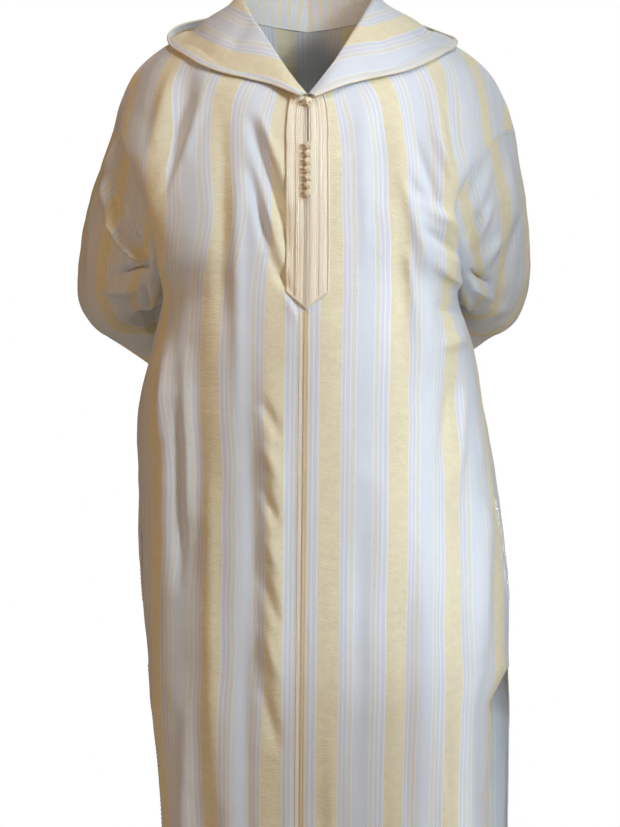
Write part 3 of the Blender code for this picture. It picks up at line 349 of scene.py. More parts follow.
# ---- the body's sections -------------------------------------------------------------------
def body_section(row, side, front):
    """A quarter of a level section, from the centre line to the side seam."""
    height, left, right, front_depth, back_depth, seam_y, square = row
    half_width = left if side > 0 else right
    power = 2 / square
    seam_turn = np.arcsin(min(1, (abs(seam_y) / front_depth)**(1 / power)))
    if front:
        turns = np.linspace(np.pi / 2, seam_turn, 400)
        x = half_width * np.cos(turns)**power
        y = -front_depth * np.sin(turns)**power
    else:
        turns = np.linspace(np.pi / 2, -seam_turn, 500)
        x = half_width * np.cos(turns)**power
        depth = np.where(turns > 0, back_depth, front_depth)
        y = depth * np.sign(turns) * np.abs(np.sin(turns))**power
    return np.stack([side * np.abs(x), y, np.full(len(turns), height)], axis=1)


def armhole_point(side, along, front):
    """The armhole seam at a share of the way from the underarm to the shoulder tip."""
    table = np.array(ARMHOLE)
    across = table[:, 1] if side > 0 else table[:, 2]
    depth = table[:, 3] if front else table[:, 4]
    rows = np.stack([side * across, depth, table[:, 5]], axis=1)
    return spline(table[:, 0], rows, along)


def yoke_section(row, side, front):
    along, centre_y, centre_z, lift, lean, out, fore = row
    start = np.array([0, centre_y, centre_z])
    end = armhole_point(side, [along], front)[0]
    leave = start + (YOKE_LEVEL * (end[0] - start[0]), 0, 0)
    arrive = end + (side * out, fore, 0)
    line = bezier(start, leave, arrive, end)
    rise = np.sin(np.pi * np.linspace(0, 1, len(line)))
    line[:, 1] += lean * rise
    line[:, 2] += lift * rise
    return line


def top_section(side, front):
    """The neckline, then the shoulder seam."""
    reach = armhole_point(side, [1.0], front)[0]
    shoulder = mirrored(SHOULDER, side)
    narrowing = np.linspace(0, 1, len(shoulder))**0.5
    shoulder[:, 0] *= 1 + (abs(reach[0]) / SHOULDER[-1][0] - 1) * narrowing
    neck = mirrored(NECK_FRONT if front else NECK_BACK, side)
    split = NECK_SHARE / PANEL_WIDTH
    inside = SHARES <= split + 1e-6
    neck_points = smooth_line(neck, SHARES[inside] / split)
    shoulder_points = smooth_line(shoulder, (SHARES[~inside] - split) / (1 - split))
    return np.concatenate([neck_points, shoulder_points])


def half_panel(side, front):
    """A grid over one side of the front or the back, rows from the hem to the shoulder."""
    knots, sections = [], []
    for row in BODY:
        knots.append((row[0] - HEM_HEIGHT) / (UNDERARM_HEIGHT - HEM_HEIGHT))
        sections.append(resample(body_section(row, side, front), SHARES))
    for row in FRONT_YOKE if front else BACK_YOKE:
        knots.append(1 + row[0])
        sections.append(resample(yoke_section(row, side, front), SHARES))
    knots.append(2.0)
    sections.append(top_section(side, front))
    grid = spline(knots, np.array(sections), LEVELS)
    if front:
        drift = np.array(CENTRE_DRIFT)
        grid[..., 0] += np.interp(grid[..., 2], drift[:, 0], drift[:, 1]) * (1 - SHARES)
    above = LEVELS >= 1
    grid[above, -1] = armhole_point(side, LEVELS[above] - 1, front)
    seam = [section[-1] for section in sections[:len(BODY)]]
    grid[~above, -1] = spline(knots[:len(BODY)], seam, LEVELS[~above])
    return grid


# ---- folds and seams -----------------------------------------------------------------------
def fold_height(x, z, folds):
    """How far the folds move each point of a panel out of its even surface."""
    total = np.zeros_like(x)
    for x0, z0, x1, z1, width, depth in folds:
        run = np.array([x1 - x0, z1 - z0])
        size = np.hypot(*run)
        run = run / size
        along = ((x - x0) * run[0] + (z - z0) * run[1]) / size
        off = (x - x0) * run[1] - (z - z0) * run[0]
        if z1 <= HEM_HEIGHT:
            fade = np.clip(along / FOLD_START, 0, 1)
        else:
            fade = np.sin(np.pi * np.clip(along, 0, 1))
        total += depth * np.clip(fade, 0, 1)**FOLD_SOFT * np.exp(-(off / (FOLD_SPREAD * width))**2)
    return total


def grid_normals(grid, closed=False):
    """Normals of a grid of points: rows cross columns."""
    if closed:
        across = np.roll(grid, -1, axis=1) - np.roll(grid, 1, axis=1)
    else:
        across = np.gradient(grid, axis=1)
    up = np.gradient(grid, axis=0)
    return unit(np.cross(across, up))


def meet(*directions):
    """One direction for walls that meet at a seam, long enough to keep each wall's size."""
    both = unit(sum(directions))
    spread = min_of([np.sum(both * one, axis=-1, keepdims=True) for one in directions])
    return both / np.maximum(spread, 0.6)


def min_of(arrays):
    return np.min(np.stack(arrays), axis=0)


class Sheet:
    """A grid of points at the middle of a wall, with the direction of the wall at each."""

    def __init__(self, grid, outward=1, closed=False, normals=None):
        self.grid = grid
        self.closed = closed
        self.normals = grid_normals(grid, closed) * outward if normals is None else normals

    def move(self, heights):
        self.grid = self.grid + self.normals * heights[..., None]

    def set_back(self, edge, inner, distance):
        """Draw an edge into the wall's own surface, square to the way the edge runs.

        The edge and the row of points inside it are given as index pairs.
        """
        line = self.grid[edge].copy()
        inward = unit(self.grid[inner] - line)
        tangent = np.gradient(line, axis=0)
        if self.closed:
            tangent = np.roll(line, -1, axis=0) - np.roll(line, 1, axis=0)
        tangent = unit(tangent)
        inward = unit(inward - tangent * np.sum(inward * tangent, axis=-1, keepdims=True))
        self.grid[edge] = line + inward * np.reshape(distance, (-1, 1))

    def read(self, row, place):
        """A point and its direction between the grid's own rows and columns."""
        low_row = min(int(row), self.grid.shape[0] - 2)
        low_column = min(int(place), self.grid.shape[1] - 2)
        down, over = row - low_row, place - low_column
        found = []
        for values in (self.grid, self.normals):
            near = values[low_row:low_row + 2, low_column:low_column + 2]
            lower, upper = near[:, 0] * (1 - over) + near[:, 1] * over
            found.append(lower * (1 - down) + upper * down)
        return found[0], unit(found[1])


# ---- the panels ----------------------------------------------------------------------------

def front_sheet(label):
    side = SIDES[label]
    grid = half_panel(side, True)
    sheet = Sheet(grid, side)
    heights = fold_height(np.abs(grid[..., 0]), grid[..., 2], FRONT_FOLDS[label])
    heights *= edge_fade(grid)
    sheet.move(heights)
    return sheet


def edge_fade(grid):
    """Nought at a grid's sides and top, rising to one inside it."""
    fade = np.ones(grid.shape[:2])
    for edge in (grid[:, :1], grid[:, -1:]):
        off = np.linalg.norm(grid - edge, axis=-1)
        fade *= np.clip(off / EDGE_FADE, 0, 1)
    top = np.linalg.norm(grid - grid[-1:], axis=-1)
    return fade * np.clip(top / TOP_FADE, 0, 1)


def back_sheet():
    """The back is one piece: columns run from the right side seam to the left."""
    left = half_panel(1, False)
    right = half_panel(-1, False)
    grid = np.concatenate([right[:, :0:-1], left], axis=1)
    sheet = Sheet(grid, -1)
    heights = fold_height(grid[..., 0], grid[..., 2], BACK_FOLDS)
    heights *= edge_fade(grid)
    sheet.move(heights)
    return sheet


def open_slits(front, back, label):
    """Part the front's edge and the back's where the side seam is left open."""
    side = SIDES[label]
    front_in, forwards, back_in, backwards = VENT_OPEN[label]
    heights = front.grid[:, -1, 2]
    vent = np.clip((VENT_TOP - heights) / VENT_RISE, 0, 1)[:, None]
    drawn = np.clip((VENT_TOP - heights) / BACK_RISE, 0, 1)[:, None]
    drawn = drawn * drawn * (3 - 2 * drawn)
    pocket = np.sin(np.pi * np.clip((heights - POCKET_BOTTOM) / (POCKET_TOP - POCKET_BOTTOM), 0, 1))
    reach = np.clip(SHARES * 2 - 1, 0, 1)
    front.grid[..., 0] -= side * front_in * vent * reach**1.5
    front.grid[..., 1] -= forwards * vent * reach
    front.grid[:, -1] += pocket[:, None] * POCKET_OPEN * (side, 1, 1)
    middle = back.grid.shape[1] // 2
    half = back.grid[:, middle:] if side > 0 else back.grid[:, middle::-1]
    half[..., 0] -= side * back_in * drawn * reach
    half[..., 1] += backwards * drawn * reach**2


def sleeve_sheet(label, loop):
    """A tube from the armhole loop to the cuff, through its four guide lines."""
    side = SIDES[label]
    shift = np.zeros((len(RIGHT_ELBOW), 3))
    if side < 0:
        shift[:, (0, 2)] = RIGHT_ELBOW
    guides = mirrored(np.array(SLEEVE_GUIDES) + shift[:, None], side)
    outer, inner, fore, aft = np.swapaxes(guides, 0, 1)
    count = len(loop)
    middle = (outer + inner + fore + aft) / 4
    long_way = (inner - outer) / 2
    short_way = (fore - aft) / 2
    spread = (inner + outer - fore - aft) / 4
    turns = loop_turns(count)[:, None]
    rings = [loop]
    for station in range(len(outer)):
        rings.append(middle[station] + np.cos(turns) * long_way[station]
                     + np.sin(turns) * short_way[station]
                     + np.cos(2 * turns) * spread[station])
    rings = np.array(rings)
    knots = lengths(np.concatenate([[loop.mean(axis=0)], middle]))
    outside = lengths(rings[:, count // 2])
    knots = (knots / knots[-1] + outside / outside[-1]) / 2
    places = np.linspace(0, 1, SLEEVE_ROWS + 1)
    grid = spline(knots, rings, places)
    return Sheet(grid, -side, closed=True)


def loop_turns(count):
    """Angles of the armhole's points: nought at the underarm, a quarter at the front."""
    return np.arange(count) / count * 2 * np.pi


def armhole_loop(front, back_column):
    """The armhole's points: underarm, up the front, the shoulder tip, down the back."""
    up = front[ROWS_BELOW:]
    down = back_column[ROWS_BELOW + 1:-1][::-1]
    return np.concatenate([up, down])


# ---- the hood ------------------------------------------------------------------------------
def hood_sheet(label, front, back):
    """Half of the hood, columns from the V to the centre back, rows from neck to rim."""
    side = SIDES[label]
    reach = HOOD_REACH[label]
    table = np.array(HOOD)
    seam_line = neck_seam(side, front, back)
    stations = []
    for along, rim_x, rim_y, rim_z, higher, height, fold_x, fold_y, fold_z in table:
        start = resample(seam_line, [along])[0]
        rim = np.array([side * reach * rim_x, rim_y, rim_z + higher * (side < 0)])
        out = unit(start * (along < 1, 1, 0))
        stand = start + unit(out * STAND_LEAN + (0, 0, 1)) * height
        if along <= HOOD_TIP:
            share = (along / HOOD_TIP)**2
            even = np.linspace(0, 1, len(TIP_STEPS) + 2)[1:-1]
            steps = (even * (1 - share) + np.array(TIP_STEPS) * share)[:, None]
            arch = LAPEL_ARCH * (1 - share) * np.linalg.norm(rim - stand) * np.sin(np.pi * steps)
            between = stand * (1 - steps) + rim * steps + arch * LAPEL_LIFT
        else:
            fold = np.array([side * reach * fold_x, fold_y, fold_z])
            bulge = min(1, np.linalg.norm(rim - fold) / FULL_BAG)
            roll = stand + out * STAND_ROLL - (0, 0, STAND_ROLL)
            inner = (roll + fold) / 2 + out * INNER_BULGE
            outer = (fold + rim) / 2 + out * BAG_BULGE * bulge
            size = FOLD_ROUND * (1 + bulge) / 2
            away = unit(out + (0, 1, 0)) * size
            rise = unit((inner + outer) / 2 - fold) * size
            between = [roll, inner, fold + rise - away, fold, fold + rise + away, outer]
        stations.append([start, stand, *between, rim])
    stations = np.array(stations)
    guides = spline(table[:, 0], stations, HOOD_COLUMNS)
    grid = np.stack([bent_line(line, HOOD_FOLD_ROW) for line in guides], axis=1)
    for _ in range(HOOD_SMOOTHING):
        grid[1:, 1:-1] = (grid[1:, :-2] + 2 * grid[1:, 1:-1] + grid[1:, 2:]) / 4
    lift_clear(grid, (front, back), HOOD_CLEARANCE)
    return Sheet(grid, side)


def lift_clear(grid, sheets, clearance):
    """Move a grid's points outwards, evenly, until each is clear of the sheets below it."""
    trees = [sheet_tree(sheet) for sheet in sheets]
    for turn in range(CLEARING_TURNS):
        moves = np.zeros_like(grid)
        for row in range(1, len(grid)):
            room = clearance * min(1, row / (len(grid) - 1) / FULL_CLEARANCE)
            for place in range(grid.shape[1]):
                for tree, lifts in trees:
                    near, _, face, away = tree.find_nearest(grid[row, place])
                    offset = grid[row, place] - np.array(near)
                    height = np.dot(offset, lifts[face])
                    beside = np.linalg.norm(offset - height * lifts[face])
                    if height < room and away < REACH and beside < SIDEWAYS:
                        moves[row, place] += lifts[face] * (room - height)
        if turn < CLEARING_TURNS - 1:
            padded = np.pad(moves, ((1, 1), (1, 1), (0, 0)), mode="edge")
            around = (padded[:-2, 1:-1] + padded[2:, 1:-1] + padded[1:-1, :-2]
                      + padded[1:-1, 2:]) / 4
            moves[1:] = (0.5 * moves + 0.5 * around)[1:]
        grid += moves


def sheet_tree(sheet):
    """A search tree over a sheet's faces, with the outward direction of each face."""
    rows, columns = sheet.grid.shape[:2]
    points = sheet.grid.reshape(-1, 3)
    faces, lifts = [], []
    for row in range(rows - 1):
        for place in range(columns - 1):
            a = row * columns + place
            faces.append((a, a + 1, a + columns + 1, a + columns))
            lifts.append(unit(sheet.normals[row, place] + sheet.normals[row + 1, place + 1]))
    return BVHTree.FromPolygons([tuple(point) for point in points], faces), lifts


def bent_line(points, fold):
    """A smooth line through a section's points, with one row of the grid on its fold."""
    along = lengths(points)
    lines = []
    stops = (0, fold - 1, fold, fold + 1, len(points) - 1)
    for low, high, rows in zip(stops, stops[1:], HOOD_ROWS):
        dense = spline(along, points, np.linspace(along[low], along[high], 60))
        lines.append(resample(dense, np.linspace(0, 1, rows + 1)[:-1]))
    return np.concatenate([*lines, points[-1:]])


def join_seams(fronts, back, sleeves):
    """Give walls that meet one common direction along each seam, then part them a little."""
    middle = back.grid.shape[1] // 2
    last = len(COLUMNS) - 1
    ring = sleeves["left"].grid.shape[1]
    both = meet(fronts["left"].normals[:, 0], fronts["right"].normals[:, 0])
    for label, side in SIDES.items():
        front, sleeve = fronts[label], sleeves[label]
        outer = middle + side * last
        front.normals[:, 0] = both
        heights = front.grid[:, -1, 2]
        for row in range(ROWS_BELOW):
            sewn = heights[row] > VENT_TOP and not POCKET_BOTTOM < heights[row] < POCKET_TOP
            if sewn:
                common = meet(front.normals[row, -1], back.normals[row, outer])
                front.normals[row, -1] = back.normals[row, outer] = common
        for place in range(NECK_COLUMNS, last):
            across = middle + side * place
            common = meet(front.normals[-1, place], back.normals[-1, across])
            front.normals[-1, place] = back.normals[-1, across] = common
        seam = []
        for step in range(ring):
            row = ROWS_BELOW + min(step, ring - step)
            body = []
            if step <= ROWS_ABOVE:
                body.append(front.normals[row, -1])
            if step == 0 or step >= ROWS_ABOVE:
                body.append(back.normals[row, outer])
            seam.append(meet(unit(sum(body)), sleeve.normals[0, step]))
        seam = np.array(seam)
        seam = (np.roll(seam, 1, axis=0) + 2 * seam + np.roll(seam, -1, axis=0)) / 4
        sleeve.normals[0] = seam
        front.normals[ROWS_BELOW:, -1] = seam[:ROWS_ABOVE + 1]
        back.normals[ROWS_BELOW:, outer] = np.roll(seam, -1, axis=0)[ROWS_ABOVE - 1:][::-1]
    part_seams(fronts, back, sleeves)


def part_seams(fronts, back, sleeves):
    half = SEAM_GAP / 2
    middle = back.grid.shape[1] // 2
    last = len(COLUMNS) - 1
    every = slice(None)
    for label, side in SIDES.items():
        front = fronts[label]
        centre = np.where(front.grid[:, 0, 2] > SLIT_BOTTOM, SLIT_HALF, half)
        front.set_back((every, 0), (every, 1), centre)
        front.set_back((every, -1), (every, -2), half)
        shoulder = slice(NECK_COLUMNS, None)
        front.set_back((-1, shoulder), (-2, shoulder), half)
        sleeve = sleeves[label]
        under = np.maximum(np.cos(loop_turns(sleeve.grid.shape[1])), 0)**8
        sleeve.set_back((0, every), (1, every), SEAM_GAP + UNDERARM_EASE * under)
    for side in SIDES.values():
        outer = middle + side * last
        back.set_back((every, outer), (every, outer - side), half)
        shoulder = middle + side * np.arange(NECK_COLUMNS, last + 1)
        back.set_back((-1, shoulder), (-2, shoulder), half)


def neck_seam(side, front, back):
    """Where the hood stands: on the panels' neckline and just inside it."""
    before = slice(NECK_COLUMNS + 1)
    behind = back.grid.shape[1] // 2 + side * np.arange(NECK_COLUMNS)[::-1]
    line = np.concatenate([front.grid[-1, before], back.grid[-1, behind]])
    lift = unit(np.concatenate([front.normals[-1, before], back.normals[-1, behind]]))
    inward = unit(np.cross(np.gradient(line, axis=0), lift))
    axis = np.array(NECK_MIDDLE)
    inward *= np.sign(np.sum(inward * (axis - line), axis=1, keepdims=True))
    return line + (lift + inward) * (CLOTH / 2 + HOOD_SEAM_GAP)


def place_of(sheet, row, distance):
    """The column, with a fraction, at a distance over the cloth from a front's centre edge."""
    low = min(int(row), len(sheet.grid) - 2)
    line = sheet.grid[low] * (1 - row + low) + sheet.grid[low + 1] * (row - low)
    return np.interp(distance, lengths(line), range(len(line)))


def row_of(sheet, height):
    """The row, with a fraction, at a height on a front's centre edge."""
    return np.interp(height, sheet.grid[:, 0, 2], range(len(sheet.grid)))


def button_seat(fronts, height):
    """The point on top of the placket at the centre line, and the way out from it."""
    found = [sheet.read(row_of(sheet, height), 0.0) for sheet in fronts.values()]
    out = unit(sum(pair[1] for pair in found))
    point = sum(pair[0] for pair in found) / 2
    return point + out * (CLOTH / 2 + TRIM_GAP + INNER_CORD + BALL_GAP), out


def part_hood(hoods):
    """Keep the two halves of the hood just apart, at the centre back and at the V."""
    for hood in hoods.values():
        hood.grid[:, -1, 0] += np.sign(hood.grid[:, -2, 0]) * SEAM_GAP / 2
        hood.normals[:, -1, 0] = 0
        hood.normals[:, -1] = unit(hood.normals[:, -1])
        start = hood.grid[:, 0, 0] * np.sign(hood.grid[:, 1, 0])
        hood.grid[:, 0, 0] = np.maximum(start, HOOD_PART) * np.sign(hood.grid[:, 1, 0])


# ---- the cloth's pattern -------------------------------------------------------------------
REPEAT = 0.093            # width of one repeat of the stripes
# One repeat, from the middle of a butter stripe to the middle of the next.
CHART = (
    # until  yarn      sheen
    (0.150, "butter", 0.00),
    (0.163, "white", 1.00),
    (0.205, "lilac", 0.80),
    (0.221, "white", 1.00),
    (0.272, "lilac", 0.80),
    (0.288, "white", 1.00),
    (0.355, "cream", 0.35),
    (0.370, "white", 1.00),
    (0.608, "ice", 0.90),
    (0.624, "white", 1.00),
    (0.680, "cream", 0.35),
    (0.697, "white", 1.00),
    (0.745, "lilac", 0.80),
    (0.762, "white", 1.00),
    (0.822, "lilac", 0.80),
    (0.842, "white", 1.00),
    (1.000, "butter", 0.00),
)
# Where the middles of the butter stripes lie, by their distance over the cloth from the front's
# centre: folds between them take up some of the cloth.
STRIPES = {
    "left": (
        # repeat  distance
        (-1, -0.060),
        (0, 0.0317),
        (1, 0.1235),
        (2, 0.202),
        (3, 0.290),
        (5, 0.476),
    ),
    "right": (
        (-1, -0.046),
        (0, 0.042),
        (1, 0.130),
        (2, 0.225),
        (3, 0.318),
        (5, 0.504),
    ),
}
SLEEVE_STRIPES = {"left": 0.077, "right": 0.104}  # of a butter stripe from the top of the arm
SLEEVE_TWIST = {"left": 0.28, "right": 0.0}       # its turn round the arm for its length
HOOD_STRIPES = {"left": 0.068, "right": 0.020}    # of a butter stripe from the rim
BACK_STRIPES = 0.063      # and of the one next to the centre back
EVENING = 60              # how often a measure across the cloth is evened out

# ---- creases -------------------------------------------------------------------------------
SHELL = 0.0012            # thickness of the visible cloth
# As the folds above, and finer: distance from the middle plane and height of the two ends.
CREASES_FRONT = {
    "left": (
        # x0     z0      x1     z1      width  depth
        (0.135, -0.150, 0.178, -0.262, 0.013, -0.0080),
        (0.158, -0.130, 0.196, -0.225, 0.010, 0.0080),
        (0.126, -0.215, 0.186, -0.262, 0.014, -0.0080),
        (0.152, -0.236, 0.206, -0.286, 0.015, 0.0090),
        (0.146, -0.276, 0.208, -0.314, 0.013, -0.0085),
        (0.164, -0.324, 0.214, -0.350, 0.015, 0.0090),
        (0.165, -0.378, 0.212, -0.388, 0.013, -0.0075),
        (0.128, -0.300, 0.140, -0.400, 0.011, 0.0060),
        (0.172, -0.430, 0.214, -0.420, 0.014, 0.0070),
        (0.120, -0.200, 0.158, -0.330, 0.014, 0.0051),
        (0.190, -0.470, 0.176, -0.600, 0.016, -0.0085),
        (0.205, -0.480, 0.195, -0.640, 0.014, 0.0068),
        (0.098, -0.110, 0.104, -0.270, 0.016, -0.0020),
        (0.072, -0.120, 0.076, -0.330, 0.014, 0.0020),
        (0.240, -0.620, 0.228, -0.900, 0.020, 0.0068),
        (0.150, -0.620, 0.156, -1.000, 0.022, 0.0051),
        (0.070, -0.640, 0.066, -1.200, 0.020, -0.0051),
        (0.128, -0.760, 0.134, -1.365, 0.020, -0.0068),
        (0.178, -0.820, 0.186, -1.365, 0.018, 0.0076),
        (0.030, -0.900, 0.034, -1.365, 0.016, 0.0051),
    ),
    "right": (
        (0.078, -0.128, 0.030, -0.275, 0.013, -0.0119),
        (0.064, -0.125, 0.028, -0.225, 0.010, 0.0068),
        (0.077, -0.195, 0.050, -0.312, 0.012, -0.0102),
        (0.050, -0.312, 0.010, -0.392, 0.011, -0.0102),
        (0.058, -0.235, 0.030, -0.330, 0.012, 0.0085),
        (0.034, -0.345, 0.010, -0.410, 0.010, 0.0068),
        (0.060, -0.500, 0.036, -0.552, 0.012, -0.0076),
        (0.058, -0.560, 0.034, -0.612, 0.012, 0.0068),
        (0.060, -0.610, 0.036, -0.672, 0.012, -0.0085),
        (0.056, -0.680, 0.034, -0.728, 0.012, 0.0059),
        (0.060, -0.725, 0.036, -0.800, 0.013, -0.0076),
        (0.058, -0.800, 0.036, -0.868, 0.012, 0.0068),
        (0.060, -0.870, 0.038, -0.960, 0.013, -0.0068),
        (0.112, -0.120, 0.112, -0.420, 0.016, -0.0068),
        (0.092, -0.180, 0.090, -0.520, 0.014, 0.0051),
        (0.150, -0.090, 0.190, -0.235, 0.009, -0.0085),
        (0.132, -0.080, 0.165, -0.190, 0.012, 0.0051),
        (0.174, -0.500, 0.170, -0.760, 0.014, -0.0102),
        (0.160, -0.430, 0.152, -0.700, 0.014, 0.0068),
        (0.186, -0.420, 0.196, -0.560, 0.013, 0.0068),
        (0.128, -0.560, 0.124, -1.050, 0.018, 0.0059),
        (0.084, -0.700, 0.080, -1.365, 0.018, -0.0068),
        (0.160, -0.880, 0.166, -1.365, 0.018, 0.0068),
        (0.024, -0.960, 0.026, -1.365, 0.014, 0.0051),
    ),
}
CREASES_BACK = (
    (0.045, -0.170, 0.060, -0.420, 0.024, -0.006),
    (-0.060, -0.150, -0.070, -0.400, 0.022, 0.006),
    (0.140, -0.080, 0.170, -0.240, 0.018, -0.0075),
    (-0.145, -0.080, -0.168, -0.230, 0.018, -0.0075),
    (0.030, -0.620, 0.036, -1.365, 0.022, 0.006),
    (-0.045, -0.700, -0.048, -1.365, 0.020, 0.006),
    (0.105, -0.640, 0.112, -1.365, 0.018, 0.006),
    (-0.120, -0.660, -0.122, -1.365, 0.020, -0.006),
    (0.165, -0.700, 0.172, -1.365, 0.018, -0.006),
    (-0.172, -0.720, -0.176, -1.365, 0.016, 0.006),
    (0.000, -0.250, 0.040, -0.420, 0.016, 0.0045),
    (-0.110, -0.300, -0.060, -0.430, 0.016, -0.0045),
)
# On the sleeves: in front of the arm, then behind it. They gather in the crook of the elbow.
CREASES_SLEEVE = {
    "right": (
        (0.262, -0.140, 0.276, -0.200, 0.010, 0.0085),
        (0.275, -0.196, 0.271, -0.250, 0.010, 0.0110),
        (0.271, -0.244, 0.252, -0.296, 0.009, 0.0120),
        (0.256, -0.290, 0.213, -0.320, 0.008, 0.0120),
        (0.264, -0.206, 0.257, -0.266, 0.009, -0.0100),
        (0.256, -0.262, 0.210, -0.316, 0.007, -0.0130),
        (0.246, -0.236, 0.226, -0.288, 0.007, 0.0090),
        (0.236, -0.262, 0.209, -0.314, 0.005, -0.0100),
        (0.262, -0.332, 0.209, -0.322, 0.008, -0.0130),
        (0.286, -0.350, 0.222, -0.348, 0.009, 0.0110),
        (0.219, -0.342, 0.219, -0.396, 0.007, -0.0080),
        (0.240, -0.356, 0.236, -0.404, 0.010, 0.0060),
        (0.292, -0.210, 0.300, -0.330, 0.012, 0.0060),
        (0.270, -0.380, 0.215, -0.410, 0.014, 0.0060),
    ),
    "left": (
        (0.234, -0.184, 0.206, -0.250, 0.009, -0.0100),
        (0.228, -0.250, 0.211, -0.296, 0.008, -0.0090),
        (0.248, -0.176, 0.224, -0.256, 0.010, 0.0060),
        (0.246, -0.236, 0.222, -0.298, 0.009, 0.0075),
        (0.214, -0.328, 0.250, -0.346, 0.006, -0.0120),
        (0.216, -0.346, 0.256, -0.364, 0.009, 0.0090),
        (0.270, -0.160, 0.282, -0.290, 0.014, 0.0055),
        (0.262, -0.280, 0.232, -0.330, 0.010, 0.0070),
        (0.286, -0.250, 0.268, -0.345, 0.012, -0.0060),
        (0.240, -0.385, 0.282, -0.370, 0.012, 0.0055),
    ),
}
CREASES_SLEEVE_BACK = (
    (0.270, -0.170, 0.300, -0.290, 0.016, 0.0056),
    (0.292, -0.200, 0.262, -0.330, 0.014, -0.007),
    (0.262, -0.300, 0.200, -0.345, 0.014, 0.007),
    (0.236, -0.330, 0.170, -0.380, 0.014, -0.007),
    (0.200, -0.395, 0.110, -0.470, 0.014, 0.0056),
    (0.160, -0.380, 0.090, -0.430, 0.014, -0.0056),
    (0.300, -0.330, 0.230, -0.400, 0.014, 0.0056),
)
# Soft waves in the hood: side to side, and height.
CREASES_HOOD = (
    (0.060, -0.060, 0.120, -0.064, 0.016, 0.0026),
    (0.100, -0.020, 0.160, -0.050, 0.020, -0.0039),
    (0.140, 0.010, 0.186, -0.020, 0.018, 0.0039),
    (0.075, 0.020, 0.110, -0.050, 0.016, 0.0026),
    (0.050, -0.080, 0.060, -0.300, 0.020, -0.0052),
    (0.100, -0.060, 0.080, -0.240, 0.018, 0.0052),
)
UNEVEN = (
    # size   height
    (0.070, 0.0026),
    (0.028, 0.0010),
    (0.013, 0.0003),
)
UNEVEN_SEED = {"front": 3.1, "back": 11.7, "sleeve": 5.3, "sleeve_back": 7.9, "hood": 2.3}
HOOD_UNEVEN = 0.5         # the share of that unevenness which the hood has
FACING_FADE = 2.5         # how soon a sleeve's creases grow as it turns to the front or back
END_ROWS = 14             # they grow over this many rows from the armhole


def uneven(grid, seed, share):
    """Small soft unevenness, as in cloth that has been worn for a while."""
    heights = np.zeros(grid.shape[:2])
    for size, height in UNEVEN:
        points = grid.reshape(-1, 3) / size + seed
        values = [noise.noise(Vector(point)) for point in points]
        heights += height * share * np.reshape(values, heights.shape)
    return heights


def crease(sheet, table, seed, facing=None, share=1.0, signed=False):
    """Move a sheet by a table of creases and a little unevenness, fading towards its edges."""
    x, _, z = np.moveaxis(sheet.grid, -1, 0)
    heights = fold_height(x if signed else np.abs(x), z, table)
    if facing is not None:
        heights *= np.clip(facing * FACING_FADE, 0, 1)
    heights += uneven(sheet.grid, seed, share)
    if sheet.closed:
        ends = np.minimum(np.arange(len(sheet.grid)), END_ROWS) / END_ROWS
        heights *= ends[:, None]
    else:
        heights *= edge_fade(sheet.grid)
    sheet.move(heights * bpy.context.scene.robe.crease_depth)


@cache
def robe_sheets():
    """Every sheet of the robe, creased and sewn, by the name of its panel; worked out once."""
    fronts, sleeves, hoods = {}, {}, {}
    back = back_sheet()
    crease(back, CREASES_BACK, UNEVEN_SEED["back"], signed=True)
    for label, side in SIDES.items():
        front = fronts[label] = front_sheet(label)
        crease(front, CREASES_FRONT[label], side * UNEVEN_SEED["front"])
        loop = armhole_loop(front.grid[:, -1], back.grid[:, -1 if side > 0 else 0])
        sleeve = sleeves[label] = sleeve_sheet(label, loop)
        forward = -sleeve.normals[..., 1]
        crease(sleeve, CREASES_SLEEVE[label], side * UNEVEN_SEED["sleeve"], forward)
        crease(sleeve, CREASES_SLEEVE_BACK, side * UNEVEN_SEED["sleeve_back"], -forward, 0)
        open_slits(front, back, label)
    join_seams(fronts, back, sleeves)
    for label, side in SIDES.items():
        hood = hoods[label] = hood_sheet(label, fronts[label], back)
        crease(hood, CREASES_HOOD, side * UNEVEN_SEED["hood"], share=HOOD_UNEVEN)
    part_hood(hoods)
    found = {"back": back}
    for kind, sheets in (("front", fronts), ("sleeve", sleeves), ("hood", hoods)):
        found.update({f"{kind}_{label}": sheet for label, sheet in sheets.items()})
    return found


def warp_measure(grid):
    """The distance up each column of a grid, from its first row."""
    steps = np.linalg.norm(np.diff(grid, axis=0), axis=2)
    return np.concatenate([np.zeros((1, grid.shape[1])), np.cumsum(steps, axis=0)])


def weft_measure(grid):
    """The distance along each row of a grid, from its first column."""
    steps = np.linalg.norm(np.diff(grid, axis=1), axis=2)
    return np.concatenate([np.zeros((len(grid), 1)), np.cumsum(steps, axis=1)], axis=1)


def even_measure(measure):
    """A measure across the cloth with the small creases' share of it evened out."""
    for _ in range(EVENING):
        padded = np.pad(measure, ((1, 1), (0, 0)), mode="edge")
        measure = (padded[:-2] + 2 * measure + padded[2:]) / 4
    return measure


def from_middle(across, columns):
    return across - across[:, columns // 2][:, None]


def pattern_of(name):
    """Where each point of a panel lies in its stripes: in repeats across, in metres along."""
    sheet = robe_sheets()[name]
    grid = sheet.grid
    columns = grid.shape[1]
    kind, _, label = name.partition("_")
    if sheet.closed:
        grid = np.concatenate([grid, grid[:, :1]], axis=1)
    weft, warp = weft_measure(grid), warp_measure(grid)
    if kind == "front":
        repeats, distances = np.transpose(STRIPES[label])
        return np.stack([np.interp(even_measure(weft), distances, repeats), warp], axis=-1)
    if kind == "back":
        across = from_middle(even_measure(weft), columns) - BACK_STRIPES
    elif kind == "sleeve":
        across = from_middle(weft, columns) + SLEEVE_STRIPES[label] + SLEEVE_TWIST[label] * warp
    else:
        across, warp = warp[-1] - warp - HOOD_STRIPES[label], weft
    return np.stack([across / REPEAT, warp], axis=-1)


